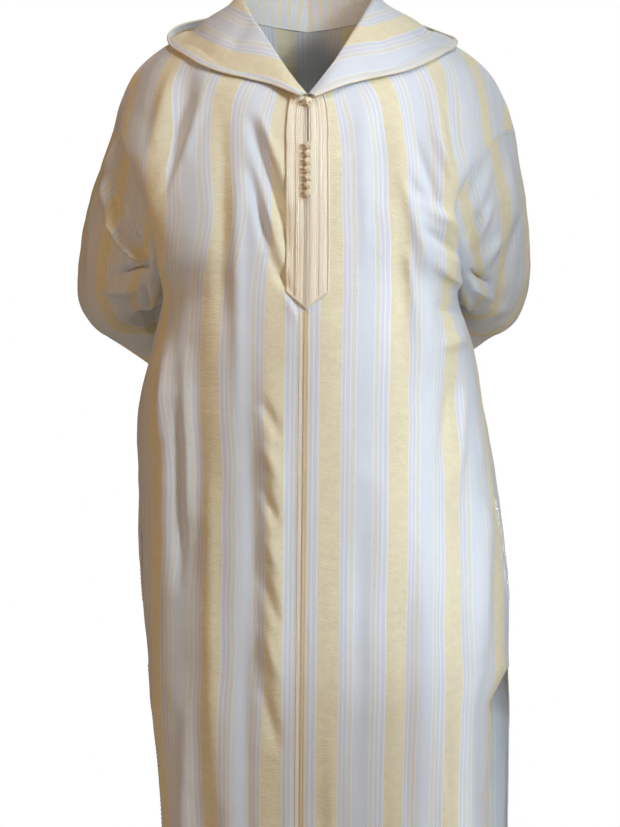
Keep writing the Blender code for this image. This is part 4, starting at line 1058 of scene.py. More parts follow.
# ---- meshes --------------------------------------------------------------------------------
PLY_OFFSET = 0.48         # a ply's middle from the cord's, for the cord's radius
PLY_RADIUS = 0.56         # and its own radius
SIDES_OF_STRAND = 6       # corners of a strand's section


def quads_volume(points, faces):
    corners = points[faces]
    total = 0.0
    for second, third in ((1, 2), (2, 3)):
        cross = np.cross(corners[:, second], corners[:, third])
        total += np.einsum("ij,ij->", corners[:, 0], cross)
    return total / 6


def add_mesh(name, points, faces, finish, uv=None, sharp=50):
    """A finished mesh object of four-sided faces, turned so that its faces point outwards."""
    points = np.asarray(points, float)
    faces = np.asarray(faces)
    if quads_volume(points, faces) < 0:
        faces = faces[:, ::-1]
        uv = None if uv is None else uv[:, ::-1]
    mesh = bpy.data.meshes.new(name)
    mesh.from_pydata(points.tolist(), [], faces.tolist())
    if uv is not None:
        layer = mesh.uv_layers.new(name="pattern")
        layer.uv.foreach_set("vector", np.ascontiguousarray(uv, dtype=np.float32).ravel())
    mesh.materials.append(finish)
    mesh.shade_smooth()
    mesh.set_sharp_from_angle(angle=np.radians(sharp))
    made = bpy.data.objects.new(name, mesh)
    bpy.context.scene.collection.objects.link(made)
    return made


def shell(name, sheet, pattern, thickness, finish):
    """A thin closed wall on both sides of a sheet, with the cloth's pattern as its UV map."""
    rows, columns = sheet.grid.shape[:2]
    half = sheet.normals * np.broadcast_to(thickness, (rows, columns))[..., None] / 2
    points = np.concatenate([sheet.grid + half, sheet.grid - half]).reshape(-1, 3)
    wide = columns if sheet.closed else columns - 1
    row, place = [part.ravel() for part in np.mgrid[0:rows - 1, 0:wide]]
    side = np.arange(wide)
    up = np.arange(rows - 1)
    end, last = rows - 1, columns - 1
    # each group of faces gives the row, the column and the layer of its four corners
    corners = [
        (row, place, 0, row, place + 1, 0, row + 1, place + 1, 0, row + 1, place, 0),
        (row, place, 1, row + 1, place, 1, row + 1, place + 1, 1, row, place + 1, 1),
        (0, side, 0, 0, side, 1, 0, side + 1, 1, 0, side + 1, 0),
        (end, side, 0, end, side + 1, 0, end, side + 1, 1, end, side, 1),
    ]
    if not sheet.closed:
        corners.append((up, 0, 0, up + 1, 0, 0, up + 1, 0, 1, up, 0, 1))
        corners.append((up, last, 0, up, last, 1, up + 1, last, 1, up + 1, last, 0))
    faces, uv = [], []
    for group in corners:
        full = np.reshape(np.broadcast_arrays(*group), (4, 3, -1))
        at_row, at_place, layer = np.moveaxis(full, 1, 0)
        faces.append((layer * rows * columns + at_row * columns + at_place % columns).T)
        uv.append(np.swapaxes(pattern[at_row, at_place], 0, 1))
    return add_mesh(name, points, np.concatenate(faces), finish, np.concatenate(uv))


def frames_along(path, lift=None):
    """The two directions square to a line at each of its points."""
    heading = unit(np.gradient(path, axis=0))
    if lift is None:
        first = np.cross(heading[0], (0.0, 0.0, 1.0))
        if np.linalg.norm(first) < 0.2:
            first = np.cross(heading[0], (0.0, 1.0, 0.0))
        lifts = [unit(first)]
        for step in heading[1:]:
            lifts.append(unit(lifts[-1] - step * np.dot(lifts[-1], step)))
        lift = np.array(lifts)
    across = unit(np.cross(lift, heading))
    return across, unit(np.cross(heading, across))


def tube_faces(rings, sides, start, looped):
    """Faces of one tube whose ring points follow each other from start, its ends closed."""
    k = np.arange(sides)
    ring = np.arange(rings if looped else rings - 1)[:, None] * sides
    after = (ring + sides) % (rings * sides)
    following = (k + 1) % sides
    faces = np.stack([ring + k, ring + following, after + following, after + k], axis=-1)
    faces = faces.reshape(-1, 4)
    if not looped:
        cap = np.array([(j, sides - 1 - j, sides - 2 - j, j + 1) for j in range((sides - 2) // 2)])
        faces = np.concatenate([faces, cap, cap[:, ::-1] + (rings - 1) * sides])
    return faces + start


def tubes(name, lines, sides, finish, looped=False, sharp=60):
    """Round strands as one piece. Each line is its points, two directions and a radius."""
    turns = np.arange(sides) * 2 * np.pi / sides
    points, faces, uv = [], [], []
    start = 0
    for path, across, lift, radius in lines:
        radius = np.reshape(radius, (-1, 1, 1))
        ring = (path[:, None] + radius * (np.cos(turns)[None, :, None] * across[:, None]
                                          + np.sin(turns)[None, :, None] * lift[:, None]))
        points.append(ring.reshape(-1, 3))
        made = tube_faces(len(path), sides, start, looped)
        faces.append(made)
        along = np.repeat(lengths(path), sides)
        round_it = np.tile(np.arange(sides) / sides, len(path))
        uv.append(np.stack([round_it, along], axis=1)[made - start])
        start += len(path) * sides
    return add_mesh(name, np.concatenate(points), np.concatenate(faces), finish,
                    np.concatenate(uv), sharp)


def even_path(path, step, lift):
    """A path and the way out at each of its points, at even steps."""
    along = lengths(path)
    at = np.linspace(0, along[-1], max(4, int(along[-1] / step)) + 1)
    even_lift = np.stack([np.interp(at, along, lift[:, axis]) for axis in range(3)], axis=1)
    return spline(along, path, at), unit(even_lift)


def twisted(path, lift, radius, pitch, hand=1, flat=1.0, step=0.0011):
    """The strands of a cord that is twisted from two plies, to the one hand or the other."""
    path, lift = even_path(path, step, lift)
    across, lift = frames_along(path, lift)
    lines = []
    for ply in (0, 1):
        angle = (2 * np.pi * (lengths(path) / (pitch * hand) + ply / 2))[:, None]
        swing = np.cos(angle) * across + np.sin(angle) * lift * flat
        lines.append((path + radius * PLY_OFFSET * swing, across, lift * flat, radius * PLY_RADIUS))
    return lines


def cord_piece(name, slot, lines, finish, *nodes):
    """A cord's strands as one finished piece."""
    return finish_piece(tubes(name, lines, SIDES_OF_STRAND, finish), slot, *nodes)


def finish_piece(made, slot, *nodes):
    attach(made, "root")
    if nodes:
        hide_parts(*nodes)


# ---- materials -----------------------------------------------------------------------------
# The cloth's grains: how many to the metre across and along, and their detail.
CLOTH_GRAIN = {
    "ripple": (150, 520, 3.0),
    "pucker": (60, 110, 2.0),
    "thread": (1500, 26, 2.0),
    "weave": (900, 900, 1.0),
    "cloudy": (22, 9, 2.0),
}
STRIPE_WANDER = 0.010     # how far a stripe's edge wanders, in repeats
BRAID_ACROSS = 3490       # waves of the braid's cells, in radians to the metre
BRAID_ALONG = 2860
BRAID_LINES = 1430        # and of the fine lines down the braid
CORD_NAMES = {"cord": "tan", "braid_cord": "cream", "pale_cord": "pale", "button": "button"}


def maths(operation, turned=False):
    """A method of Wire that adds a Math node for the wire and what it is combined with."""
    def combine(self, *others):
        terms = (self, *others)
        return self.sum_up(operation, *(reversed(terms) if turned else terms))
    return combine


class Wire:
    """One socket of a material's nodes, so that shader maths reads as plain sums."""

    def __init__(self, tree, socket):
        self.tree = tree
        self.socket = socket

    def sum_up(self, operation, *terms):
        node = self.tree.nodes.new("ShaderNodeMath")
        node.operation = operation
        for socket, term in zip(node.inputs, terms):
            if isinstance(term, Wire):
                self.tree.links.new(term.socket, socket)
            else:
                socket.default_value = term
        return Wire(self.tree, node.outputs[0])

    __add__ = maths("ADD")
    __radd__ = maths("ADD", turned=True)
    __sub__ = maths("SUBTRACT")
    __rsub__ = maths("SUBTRACT", turned=True)
    __mul__ = maths("MULTIPLY")
    __rmul__ = maths("MULTIPLY", turned=True)
    wave = maths("SINE")
    part = maths("FRACT")
    size = maths("ABSOLUTE")

    def within(self, low, high):
        return self.sum_up("MINIMUM", self.sum_up("MAXIMUM", self, low), high)

    def beside(self, output):
        """Another output of the same node."""
        return Wire(self.tree, self.socket.node.outputs[output])


class Finish:
    """A material and its nodes."""

    def __init__(self, name, uniform):
        self.material = bpy.data.materials.new(name)
        self.material.use_nodes = True
        self.tree = self.material.node_tree
        self.shader = self.tree.nodes["Principled BSDF"]
        for key, value in uniform.items():
            self.shader.inputs[key].default_value = value

    def node(self, kind, settings=None, output=0, **inputs):
        """Any node: its type, its settings or a ramp's stops, and its sockets' values or links."""
        node = self.tree.nodes.new("ShaderNode" + kind)
        for key, value in (settings or {}).items():
            if key == "stops":
                self.set_stops(node.color_ramp, value)
            else:
                setattr(node, key, value)
        for key, value in inputs.items():
            socket = node.inputs[int(key[1:]) if key[1:].isdigit() else key]
            if isinstance(value, Wire):
                self.tree.links.new(value.socket, socket)
            else:
                socket.default_value = value
        return Wire(self.tree, node.outputs[output])

    def set_stops(self, ramp, stops):
        ramp.interpolation = "CONSTANT"
        for number, (place, colour) in enumerate(stops):
            stop = ramp.elements[0] if number == 0 else ramp.elements.new(place)
            stop.position = place
            stop.color = colour
        ramp.elements.remove(ramp.elements[-1])

    def pattern(self):
        """The two parts of the piece's own pattern map."""
        across = self.node("SeparateXYZ", Vector=self.node("UVMap", {"uv_map": "pattern"}))
        return across, across.beside("Y")

    def speckle(self, x, y, detail=2.0, scale=1.0):
        """Noise on two measures of the cloth, between nought and one."""
        place = self.node("CombineXYZ", X=x, Y=y)
        return self.node("TexNoise", Vector=place, Scale=scale, Detail=detail)

    def paint(self, colour, tone):
        """A colour made lighter or darker by a tone round one."""
        grey = self.node("CombineColor", Red=tone, Green=tone, Blue=tone)
        self.feed("Base Color", self.node("Mix", {"data_type": "RGBA", "blend_type": "MULTIPLY"},
                                          output=2, n0=1.0, n6=colour, n7=grey))

    def feed(self, key, wire):
        self.tree.links.new(wire.socket, self.shader.inputs[key])

    def bump(self, height, strength, distance):
        self.feed("Normal", self.node("Bump", Height=height, Strength=strength, Distance=distance))


def robe_colour(key, alpha=1.0):
    return (*getattr(bpy.context.scene.robe, key), alpha)


@cache
def striped_cloth():
    """Butter crepe stripes, matt and rippled, between satin white, lilac and cream ones."""
    look = Finish("striped_cloth", {"Sheen Weight": 0.12, "Sheen Roughness": 0.4,
                                    "Specular IOR Level": 0.45})
    across, along = look.pattern()
    starts = [0.0] + [until for until, *_ in CHART]
    stops = [(start, robe_colour(yarn, sheen)) for start, (_, yarn, sheen) in zip(starts, CHART)]
    wander = (look.speckle(across, along, scale=14.0) - 0.5) * STRIPE_WANDER
    place = (across + wander + 8.0).part()
    colour = look.node("ValToRGB", {"stops": stops}, Fac=place)
    satin = colour.beside("Alpha")
    crepe = (1 - satin * 1.4).within(0, 1)
    metres = across * REPEAT
    grain = {key: look.speckle(metres * wide, along * long, detail)
             for key, (wide, long, detail) in CLOTH_GRAIN.items()}
    crinkle = (grain["ripple"] * 0.7 + grain["pucker"] * 0.6 - 0.65) * crepe
    streak = (grain["thread"] - 0.5) * satin
    weave = grain["weave"] - 0.5
    # Painted shade and highlight: the crepe's crinkle and the satin's thread streaks are painted
    # darker in the hollows and lighter on the ridges of the bump below; the cloudy term is uneven
    # tone.
    look.paint(colour, 1 + crinkle * 0.26 + streak * 0.14 + (grain["cloudy"] - 0.5) * 0.09)
    look.feed("Roughness", (0.82 - satin * 0.42 + weave * 0.08 + crepe * 0.04).within(0.3, 0.95))
    look.bump(crinkle * 0.9 + streak * 0.25 + weave * 0.12, 0.8, 0.0016)
    return look.material


@cache
def silk_braid():
    """Flat braid: small even cells, lighter where the strands stand up."""
    look = Finish("silk_braid", {"Sheen Weight": 0.15})
    across, along = look.pattern()
    cells = (across * BRAID_ACROSS).wave() * (along * BRAID_ALONG).wave()
    rungs = (along * BRAID_ALONG + (across * (BRAID_ACROSS / 2)).wave() * 0.6).wave()
    lines = ((across * BRAID_LINES).wave().size() * -2.0 + 1.0).within(0, 1)
    strands = look.speckle(across * 900, along * 2600) - 0.5
    worn = look.speckle(across * 40, along * 25) - 0.5
    # Painted highlight and shade: cells, rungs and strands are lighter where the bump below raises
    # them, and the fine lines darker where it sinks them; the worn term is uneven tone.
    look.paint(robe_colour("braid"), 1.03 + cells * 0.08 + rungs * 0.08 - lines * 0.16
               + strands * 0.14 + worn * 0.08)
    look.feed("Roughness", (0.52 - cells * 0.06 + strands * 0.2).within(0.3, 0.9))
    look.bump(cells * 0.5 + rungs * 0.3 - lines + strands * 0.4, 0.25, 0.0006)
    return look.material


@cache
def silk_cord(key):
    """Silk strands: fine filaments that run round the cord as it is twisted."""
    look = Finish("silk_cord_" + CORD_NAMES[key], {"Sheen Weight": 0.12})
    across, along = look.pattern()
    filament = (across * 37.7 + along * 2600).wave()
    fray = look.speckle(across * 9, along * 420) - 0.5
    worn = look.speckle(across, along * 30) - 0.5
    # Painted highlight and shade: the filaments and the fray are lighter where the bump below raises
    # them and darker where it sinks them; the worn term is uneven tone.
    look.paint(robe_colour(key), 0.98 + filament * 0.05 + fray * 0.22 + worn * 0.12)
    look.feed("Roughness", (0.45 + fray * 0.2).within(0.25, 0.9))
    look.bump(filament * 0.4 + fray * 0.5, 0.5, 0.0005)
    return look.material


@cache
def piping():
    """The rolled edge of the hood: cloth drawn round a cord, with small tucks."""
    look = Finish("piping", {"Sheen Weight": 0.12})
    across, along = look.pattern()
    tucks = look.speckle(across * 2, along * 260)
    cloudy = look.speckle(across, along * 20) - 0.5
    # Painted highlight and shade: the tucks are lighter where the bump below raises them and darker
    # in their folds; the cloudy term is uneven tone.
    look.paint(robe_colour("piping"), 0.97 + (tucks - 0.5) * 0.14 + cloudy * 0.12)
    look.feed("Roughness", (0.5 + (tucks - 0.5) * 0.25).within(0.3, 0.9))
    look.bump(tucks, 0.5, 0.0008)
    return look.material


def grained(name, uniform, colour, scale, detail, tone, spread):
    """A plain material with an even grain."""
    look = Finish(name, uniform)
    place = look.node("TexCoord", output="Object")
    grain = look.node("TexNoise", Vector=place, Scale=scale, Detail=detail) - 0.5
    look.paint(colour, tone + grain * spread)
    return look.material


@cache
def sewing_thread():
    return grained("sewing_thread", {"Roughness": 0.5, "Sheen Weight": 0.1}, robe_colour("thread"),
                   scale=900.0, detail=2.0, tone=0.95, spread=0.2)


def pale_floor():
    return grained("pale_floor", {"Roughness": 0.7}, (0.86, 0.86, 0.85, 1.0),
                   scale=3.0, detail=3.0, tone=0.98, spread=0.03)


# ---- pieces --------------------------------------------------------------------------------
HEM_BAND = 0.024          # turned up at the hem and cuffs
HOOD_BAND = 0.0065        # turned in along the hood's rim
BAND_THICK = 0.9          # what a turned-up band adds, as a share of the cloth's thickness
BAND_STEP = 0.0015        # softness of the step at its edge
TRIM_LIFT = CLOTH / 2 + TRIM_GAP
# The braid's relief over half of the placket: flat bands between the laid cords.
BRAID_GRID = (150, 60)    # rows and columns of its shell
BRAID_BASE = 0.0012
BRAID_BANDS = (
    # from   to      rise
    (0.0050, 0.0106, 0.0006),
    (0.0116, 0.0136, 0.0005),
    (0.0170, 0.0186, 0.0004),
    (0.0196, 0.0250, 0.0006),
)
BAND_EDGE = 0.0005        # over which a band of the braid rises
BRAID_RIM = 0.5           # the share of the base which is left at the braid's outer edge
PLACKET_TOP_GAP = 0.002   # between the placket and the hood's foot
LAID_CORDS = (
    # distance radius  pitch
    (0.0007, 0.0012, 0.0042),
    (0.0034, 0.0011, 0.0042),
    (0.0153, 0.0010, 0.0036),
    (0.0272, 0.0014, 0.0056),
)
CORD_SEAT = 0.55          # the share of a laid cord's radius that stands above the braid
CORD_TIP = 0.0012         # where the outer cord ends at the placket's point
PLACKET_POINT_ROUND = 0.002
CORD_POINTS = {"laid": 60, "tip": 14, "centre": 160, "side": 90}
TWIST_SEAT = 0.0006       # how far the middles of the other cords stand off what they lie on
CENTRE_CORD = {"radius": 0.0024, "pitch": 0.0060, "flat": 0.45, "step": 0.0013}
CENTRE_HALF = 0.0017      # from the centre to the middle of each half of that cord
CENTRE_TOP_GAP = 0.001    # between it and the placket
RIBBON = (0.0040, 0.0092)  # the edges of the ribbon beside it, from the centre
RIBBON_GRID = (200, 5)
RIBBON_THICK = 0.0005
PIPING_SEAT = 0.8         # how far out from the rim the piping lies, in radii
PIPING_UNEVEN = 0.10      # the share by which its radius varies
PIPING_GRAIN = 90         # and how many times to the metre
PIPING_STEP = 0.003
PIPING_SIDES = 12
SIDE_CORD = {"radius": 0.0024, "pitch": 0.0120, "step": 0.0016}
SIDE_CORDS = {
    "vent_cord": (HEM_HEIGHT + 0.004, VENT_TOP),
    "pocket_cord": (POCKET_BOTTOM, POCKET_TOP),
}
KNOT_POINTS = 150
KNOT_SIDES = 7
KNOT_LEADS = 3            # how often a knot's strand runs round it
KNOT_BIGHTS = 5           # and how often it turns at each pole
KNOT_REACH = 58           # degrees from the knot's middle to those turns
KNOT_STRAND = 0.30        # the strand's radius, its distance and how it weaves, in radii
KNOT_AWAY = 0.80
KNOT_WEAVE = 0.42
CORE = 0.87               # the core's radius for the knot's
CORE_FLAT = 0.94          # and its height
LOOP_LEGS = ((1.0, 0.40), (0.75, 0.62))  # the loop's legs: share of its reach, and of the radius
LOOP_ROUND = 1.05         # the loop's own radius round the button
LOOP_CORD = {"radius": LOOP_RADIUS * 1.15, "pitch": 0.0034, "step": 0.0006}
# A stitch along its length: where, its size and its rise.
STITCH_RINGS = ((0.0, 0.35, -0.5), (0.25, 0.9, 0.15), (0.75, 0.9, 0.15), (1.0, 0.35, -0.5))
STITCH_SECTION = np.array([(-1, 0.0), (0, 1.0), (1, 0.0), (0, -0.6)])
STITCH_INSIDE = 0.002     # from the edge of a turned-up band to its stitches
# A stitch's length, the gap after it and how far its middle stands off the cloth.
HEM_STITCH = (0.0030, 0.0026, 0.0003)
RIM_STITCH = (0.0026, 0.0022, 0.0002)
ARMHOLE_STITCH = (0.0030, 0.0016, 0.0004)
CUFF_STITCH = (0.0030, 0.0026, 0.0002)
THREAD = {"hem": 0.00035, "hood": 0.00035, "sleeve": 0.00045}
RIM_COLUMN = 40           # the hood's column along which its band is measured


def cloth_piece(name, band=HEM_BAND, from_end=False):
    """One panel: the shell is thicker within its turned-up band, with a soft step at its edge."""
    sheet = robe_sheets()[name]
    distance = warp_measure(sheet.grid)
    if from_end:
        distance = distance[-1] - distance
    turned = np.clip((band - distance) / BAND_STEP + 0.5, 0, 1)
    thickness = bpy.context.scene.robe.shell * (1 + BAND_THICK * turned)
    made = shell(name + "_cloth", sheet, pattern_of(name), thickness, striped_cloth())
    finish_piece(made, "striped_cloth", name)


def build_fronts():
    for label in SIDES:
        cloth_piece(f"front_{label}")


def build_back():
    cloth_piece("back")


def build_sleeves():
    for label in SIDES:
        cloth_piece(f"sleeve_{label}", from_end=True)


def build_hood():
    for label in SIDES:
        cloth_piece(f"hood_{label}", HOOD_BAND, from_end=True)


def placket_bottom(distance):
    share = distance / PLACKET_WIDTH
    return PLACKET_BOTTOM + (PLACKET_SHOULDER - PLACKET_BOTTOM) * share


def on_front(sheet, distances, heights, lift):
    """Points above a front panel and the way out from each, for distances and heights alike."""
    distances, heights = np.broadcast_arrays(distances, heights)
    points, ways = np.zeros((2, *distances.shape, 3))
    for at in np.ndindex(distances.shape):
        row = row_of(sheet, heights[at])
        point, ways[at] = sheet.read(row, place_of(sheet, row, distances[at]))
        points[at] = point + ways[at] * lift
    return points, ways


def on_edge(sheet, rows, lift):
    """Points above a front panel's side edge and the way out from each."""
    read = [sheet.read(row, len(COLUMNS) - 1) for row in rows]
    points, ways = np.swapaxes(np.array(read), 0, 1)
    return points + ways * lift, ways


def trim_shell(name, base, ways, distances, thickness, finish, *nodes, raised=0.0):
    """A band of trim over a front panel, with its own pattern map."""
    pattern = np.stack([np.broadcast_to(distances, base.shape[:2]), base[..., 2]], axis=-1)
    sheet = Sheet(base + ways * raised, normals=ways)
    finish_piece(shell(name, sheet, pattern, thickness, finish), "silk_braid", *nodes)


def build_placket():
    for label, side in SIDES.items():
        sheet = robe_sheets()[f"front_{label}"]
        top = sheet.grid[-1, 0, 2] - PLACKET_TOP_GAP
        distances = np.linspace(SEAM_GAP, PLACKET_WIDTH, BRAID_GRID[1])
        relief = np.full(BRAID_GRID[1], BRAID_BASE)
        for low, high, rise in BRAID_BANDS:
            inside = np.minimum(distances - low, high - distances)
            relief += rise * np.clip(inside / BAND_EDGE, 0, 1)
        relief[-1] = BRAID_BASE * BRAID_RIM
        step = np.linspace(0, 1, BRAID_GRID[0])[:, None]
        heights = placket_bottom(distances) * (1 - step) + top * step
        base, ways = on_front(sheet, distances, heights, TRIM_LIFT)
        trim_shell(f"placket_{label}_braid", base, ways, distances, relief, silk_braid(),
                   f"placket_{label}", raised=(relief / 2)[:, None])
        lines = []
        for distance, radius, pitch in LAID_CORDS:
            low = placket_bottom(distance) + PLACKET_POINT_ROUND
            heights = np.linspace(top, low, CORD_POINTS["laid"])
            across = np.full(len(heights), distance)
            if distance == LAID_CORDS[-1][0]:
                inwards = np.linspace(distance, CORD_TIP, CORD_POINTS["tip"])[1:]
                across = np.append(across, inwards)
                heights = np.append(heights, placket_bottom(inwards) + PLACKET_POINT_ROUND)
            across = across + SLIT_HALF * (heights > BUTTON_ROW[0])
            lift = TRIM_LIFT + BRAID_BASE + radius * CORD_SEAT
            lines += twisted(*on_front(sheet, across, heights, lift), radius, pitch, side)
        cord_piece(f"placket_{label}_cords", "silk_braid", lines, silk_cord("braid_cord"))


def build_centre_cord():
    low, high = HEM_HEIGHT + CORD_END, PLACKET_BOTTOM - CENTRE_TOP_GAP
    heights = np.linspace(high, low, CORD_POINTS["centre"])
    lines = []
    for label, side in SIDES.items():
        sheet = robe_sheets()[f"front_{label}"]
        path, ways = on_front(sheet, CENTRE_HALF, heights, TRIM_LIFT + TWIST_SEAT)
        lines += twisted(path, ways, hand=side, **CENTRE_CORD)
    cord_piece("centre_cord_twist", "silk_cord", lines, silk_cord("cord"), "centre_cord")
    rows, columns = RIBBON_GRID
    heights = np.linspace(low, high, rows)[:, None]
    base, ways = on_front(robe_sheets()["front_right"], np.linspace(*RIBBON, columns), heights,
                          CLOTH / 2 + RIBBON_THICK)
    trim_shell("centre_ribbon", base, ways, np.linspace(0, RIBBON[1] - RIBBON[0], columns),
               RIBBON_THICK, piping())


def build_hood_edge():
    for label, side in SIDES.items():
        grid = robe_sheets()[f"hood_{label}"].grid
        outward = unit(grid[-1] - grid[-3])
        path = grid[-1] + outward * (EDGE_RADIUS * PIPING_SEAT)
        path[:, 0] = side * np.maximum(side * path[:, 0], SEAM_GAP)
        path, lift = even_path(path, PIPING_STEP, outward)
        grain = np.array([noise.noise(Vector(point) * PIPING_GRAIN) for point in path])
        line = (path, *frames_along(path, lift), EDGE_RADIUS * (1 + PIPING_UNEVEN * grain))
        made = tubes(f"hood_edge_{label}_piping", [line], PIPING_SIDES, piping())
        finish_piece(made, "silk_braid", f"hood_edge_{label}")


def build_slit_cords():
    for label, side in SIDES.items():
        sheet = robe_sheets()[f"front_{label}"]
        heights = sheet.grid[:, -1, 2]
        for name, ends in SIDE_CORDS.items():
            levels = np.linspace(*ends, CORD_POINTS["side"])
            rows = np.interp(levels, heights, range(len(heights)))
            lines = twisted(*on_edge(sheet, rows, TWIST_SEAT), hand=side, **SIDE_CORD)
            cord_piece(f"{name}_{label}_twist", "silk_cord", lines, silk_cord("pale_cord"),
                       f"{name}_{label}")


def turks_head(centre, out, radius):
    """A woven knot over a ball: one strand that passes over and under itself."""
    across, up = frames_along(np.array([centre, centre + out * 0.001]))
    turn = np.linspace(0, 2 * np.pi, KNOT_POINTS, endpoint=False)
    east = KNOT_LEADS * turn
    north = np.radians(KNOT_REACH) * np.sin(KNOT_BIGHTS * turn)
    strand = radius * KNOT_STRAND
    away = radius * KNOT_AWAY + strand * KNOT_WEAVE * np.sin(2 * KNOT_BIGHTS * turn + np.pi / 2)
    flat = np.cos(north) * away
    path = (centre + (flat * np.cos(east))[:, None] * across[0]
            + (flat * np.sin(east))[:, None] * up[0] + (np.sin(north) * away)[:, None] * out)
    heading = unit(np.roll(path, -1, axis=0) - np.roll(path, 1, axis=0))
    side = unit(np.cross(unit(path - centre), heading))
    return path, side, unit(np.cross(heading, side)), strand


def ball(name, centre, radius, finish):
    """The padded core inside a knot, drawn in a little at its poles."""
    bpy.ops.object.select_all(action="DESELECT")
    bpy.ops.mesh.primitive_uv_sphere_add(segments=16, ring_count=10, radius=radius,
                                         location=tuple(centre))
    made = bpy.context.active_object
    bpy.ops.object.mode_set(mode="EDIT")
    bpy.ops.mesh.select_all(action="SELECT")
    bpy.ops.transform.resize(value=(1.0, 1.0, CORE_FLAT))
    bpy.ops.object.mode_set(mode="OBJECT")
    bpy.ops.object.transform_apply(location=True, rotation=True, scale=True)
    made.name = made.data.name = name
    made.data.uv_layers[0].name = "pattern"
    made.data.materials.append(finish)
    made.data.shade_smooth()
    return made


def build_button(name, height, radius):
    """A knotted button on the fronts, its core and the loop round it."""
    fronts = {label: robe_sheets()[f"front_{label}"] for label in SIDES}
    silk = silk_cord("button")
    seat, out = button_seat(fronts, height)
    centre = seat + out * radius
    knot = tubes(f"button_{name}_knot", [turks_head(centre, out, radius)], KNOT_SIDES, silk,
                 looped=True)
    finish_piece(knot, "silk_cord", f"button_{name}")
    finish_piece(ball(f"button_{name}_core", centre, radius * CORE, silk), "silk_cord")
    across = np.array((1.0, 0.0, 0.0))
    turns = np.radians(np.linspace(LOOP_TURN, -LOOP_TURN, 15))
    legs = [(-LOOP_REACH * reach, radius * wide) for reach, wide in LOOP_LEGS]
    bow = radius * LOOP_ROUND * np.stack([np.cos(turns), np.sin(turns)], axis=1)
    flat = np.concatenate([legs, bow, [(x, -z) for x, z in reversed(legs)]])
    path = seat + out * LOOP_RADIUS + flat[:, :1] * across - flat[:, 1:] * np.cross(across, out)
    lines = twisted(path, np.broadcast_to(out, path.shape), **LOOP_CORD)
    cord_piece(f"loop_{name}_twist", "silk_cord", lines, silk, f"loop_{name}")


def build_buttons():
    build_button("top", TOP_BUTTON_HEIGHT, TOP_BUTTON_RADIUS)
    for number, height in enumerate(np.linspace(*BUTTON_ROW, BUTTON_COUNT), start=1):
        build_button(number, height, BUTTON_RADIUS)


def nearest_row(sheet, distance, column=0, from_end=False):
    """The row of a sheet nearest to a distance from its first row, or from its last one."""
    along = warp_measure(sheet.grid)[:, column]
    if from_end:
        along = along[-1] - along
    return int(np.argmin(np.abs(along - distance)))


def stitch_row(sheet, row, stitch, wall, way=1):
    """A row of stitches on a sheet whose wall is so thick: the ends and way out of each."""
    points, ways = sheet.grid[row], sheet.normals[row] * way
    if sheet.closed:
        points, ways = np.append(points, points[:1], axis=0), np.append(ways, ways[:1], axis=0)
    length, gap, rise = stitch
    points, ways = even_path(points, (length + gap) / 2, ways)
    count = len(points) - 2
    heading = unit(points[1:count + 1:2] - points[0:count:2])
    starts = points[0:count:2] + ways[0:count:2] * (wall + rise)
    return starts, starts + heading * length, ways[0:count:2]


def stitches(key, rows):
    """Rows of small stitches as one piece: each a short strand that dips at its ends."""
    radius = THREAD[key]
    faces = [(k, (k + 1) % 4, (k + 1) % 4 + 4, k + 4) for k in range(4)]
    faces = [np.array(faces) + 4 * ring for ring in range(len(STITCH_RINGS) - 1)]
    faces = np.concatenate([*faces, [(0, 3, 2, 1), (12, 13, 14, 15)]])
    starts, ends, out = [np.concatenate(part) for part in zip(*rows)]
    side = unit(np.cross(out, unit(ends - starts)))
    rings = []
    for share, size, rise in STITCH_RINGS:
        middle = starts * (1 - share) + ends * share + out * radius * rise
        rings += [middle + radius * size * (side * p + out * q) for p, q in STITCH_SECTION]
    points = np.stack(rings, axis=1)
    all_faces = np.arange(len(points))[:, None, None] * points.shape[1] + faces
    made = add_mesh(f"{key}_stitches", points.reshape(-1, 3), all_faces.reshape(-1, 4),
                    sewing_thread())
    finish_piece(made, "striped_cloth")


def build_stitches():
    sheets = robe_sheets()
    half = bpy.context.scene.robe.shell / 2
    doubled = half * (1 + BAND_THICK)
    inside = HEM_BAND - STITCH_INSIDE
    hems, rims, arms = [], [], []
    for name in ("front_left", "front_right", "back"):
        row = nearest_row(sheets[name], inside)
        hems.append(stitch_row(sheets[name], row, HEM_STITCH, half))
    stitches("hem", hems)
    for label in SIDES:
        hood = sheets[f"hood_{label}"]
        row = nearest_row(hood, HOOD_BAND, RIM_COLUMN, from_end=True)
        for way in (1, -1):
            rims.append(stitch_row(hood, row, RIM_STITCH, doubled, way))
    stitches("hood", rims)
    for label in SIDES:
        sleeve = sheets[f"sleeve_{label}"]
        arms.append(stitch_row(sleeve, 1, ARMHOLE_STITCH, half))
        row = nearest_row(sleeve, inside, from_end=True)
        arms.append(stitch_row(sleeve, row, CUFF_STITCH, doubled))
    stitches("sleeve", arms)


# ---- stage ---------------------------------------------------------------------------------
FLOOR_DROP = 0.095        # from the hem to the floor
LIGHTS = (
    # name, place, aim, width and height, power, colour, spread in degrees
    ("key", (2.05, -2.30, 0.75), (0.0, 0.0, -0.40), (0.7, 0.8), 38, (0.87, 0.955, 1.0), 180),
    ("beam", (1.01, -1.24, -0.09), (0.072, -0.13, -0.43), (0.20, 0.85), 0.21,
     (0.89, 0.96, 1.0), 11),
    ("edge", (0.32, -1.70, -0.90), (0.238, 0.0, -0.92), (0.06, 0.9), 0.15, (0.90, 0.96, 1.0), 12),
    ("top", (0.50, -0.95, 1.60), (0.0, -0.1, -0.20), (0.5, 0.5), 11, (0.95, 0.98, 1.0), 180),
    ("warm_side", (-1.7, -1.5, 0.6), (0.0, 0.0, -0.5), (0.5, 0.6), 9.5, (1.0, 0.62, 0.34), 180),
    ("behind", (0.6, 2.6, 0.7), (0.0, 0.0, -0.5), (1.6, 1.6), 16, (1.0, 0.86, 0.70), 180),
)


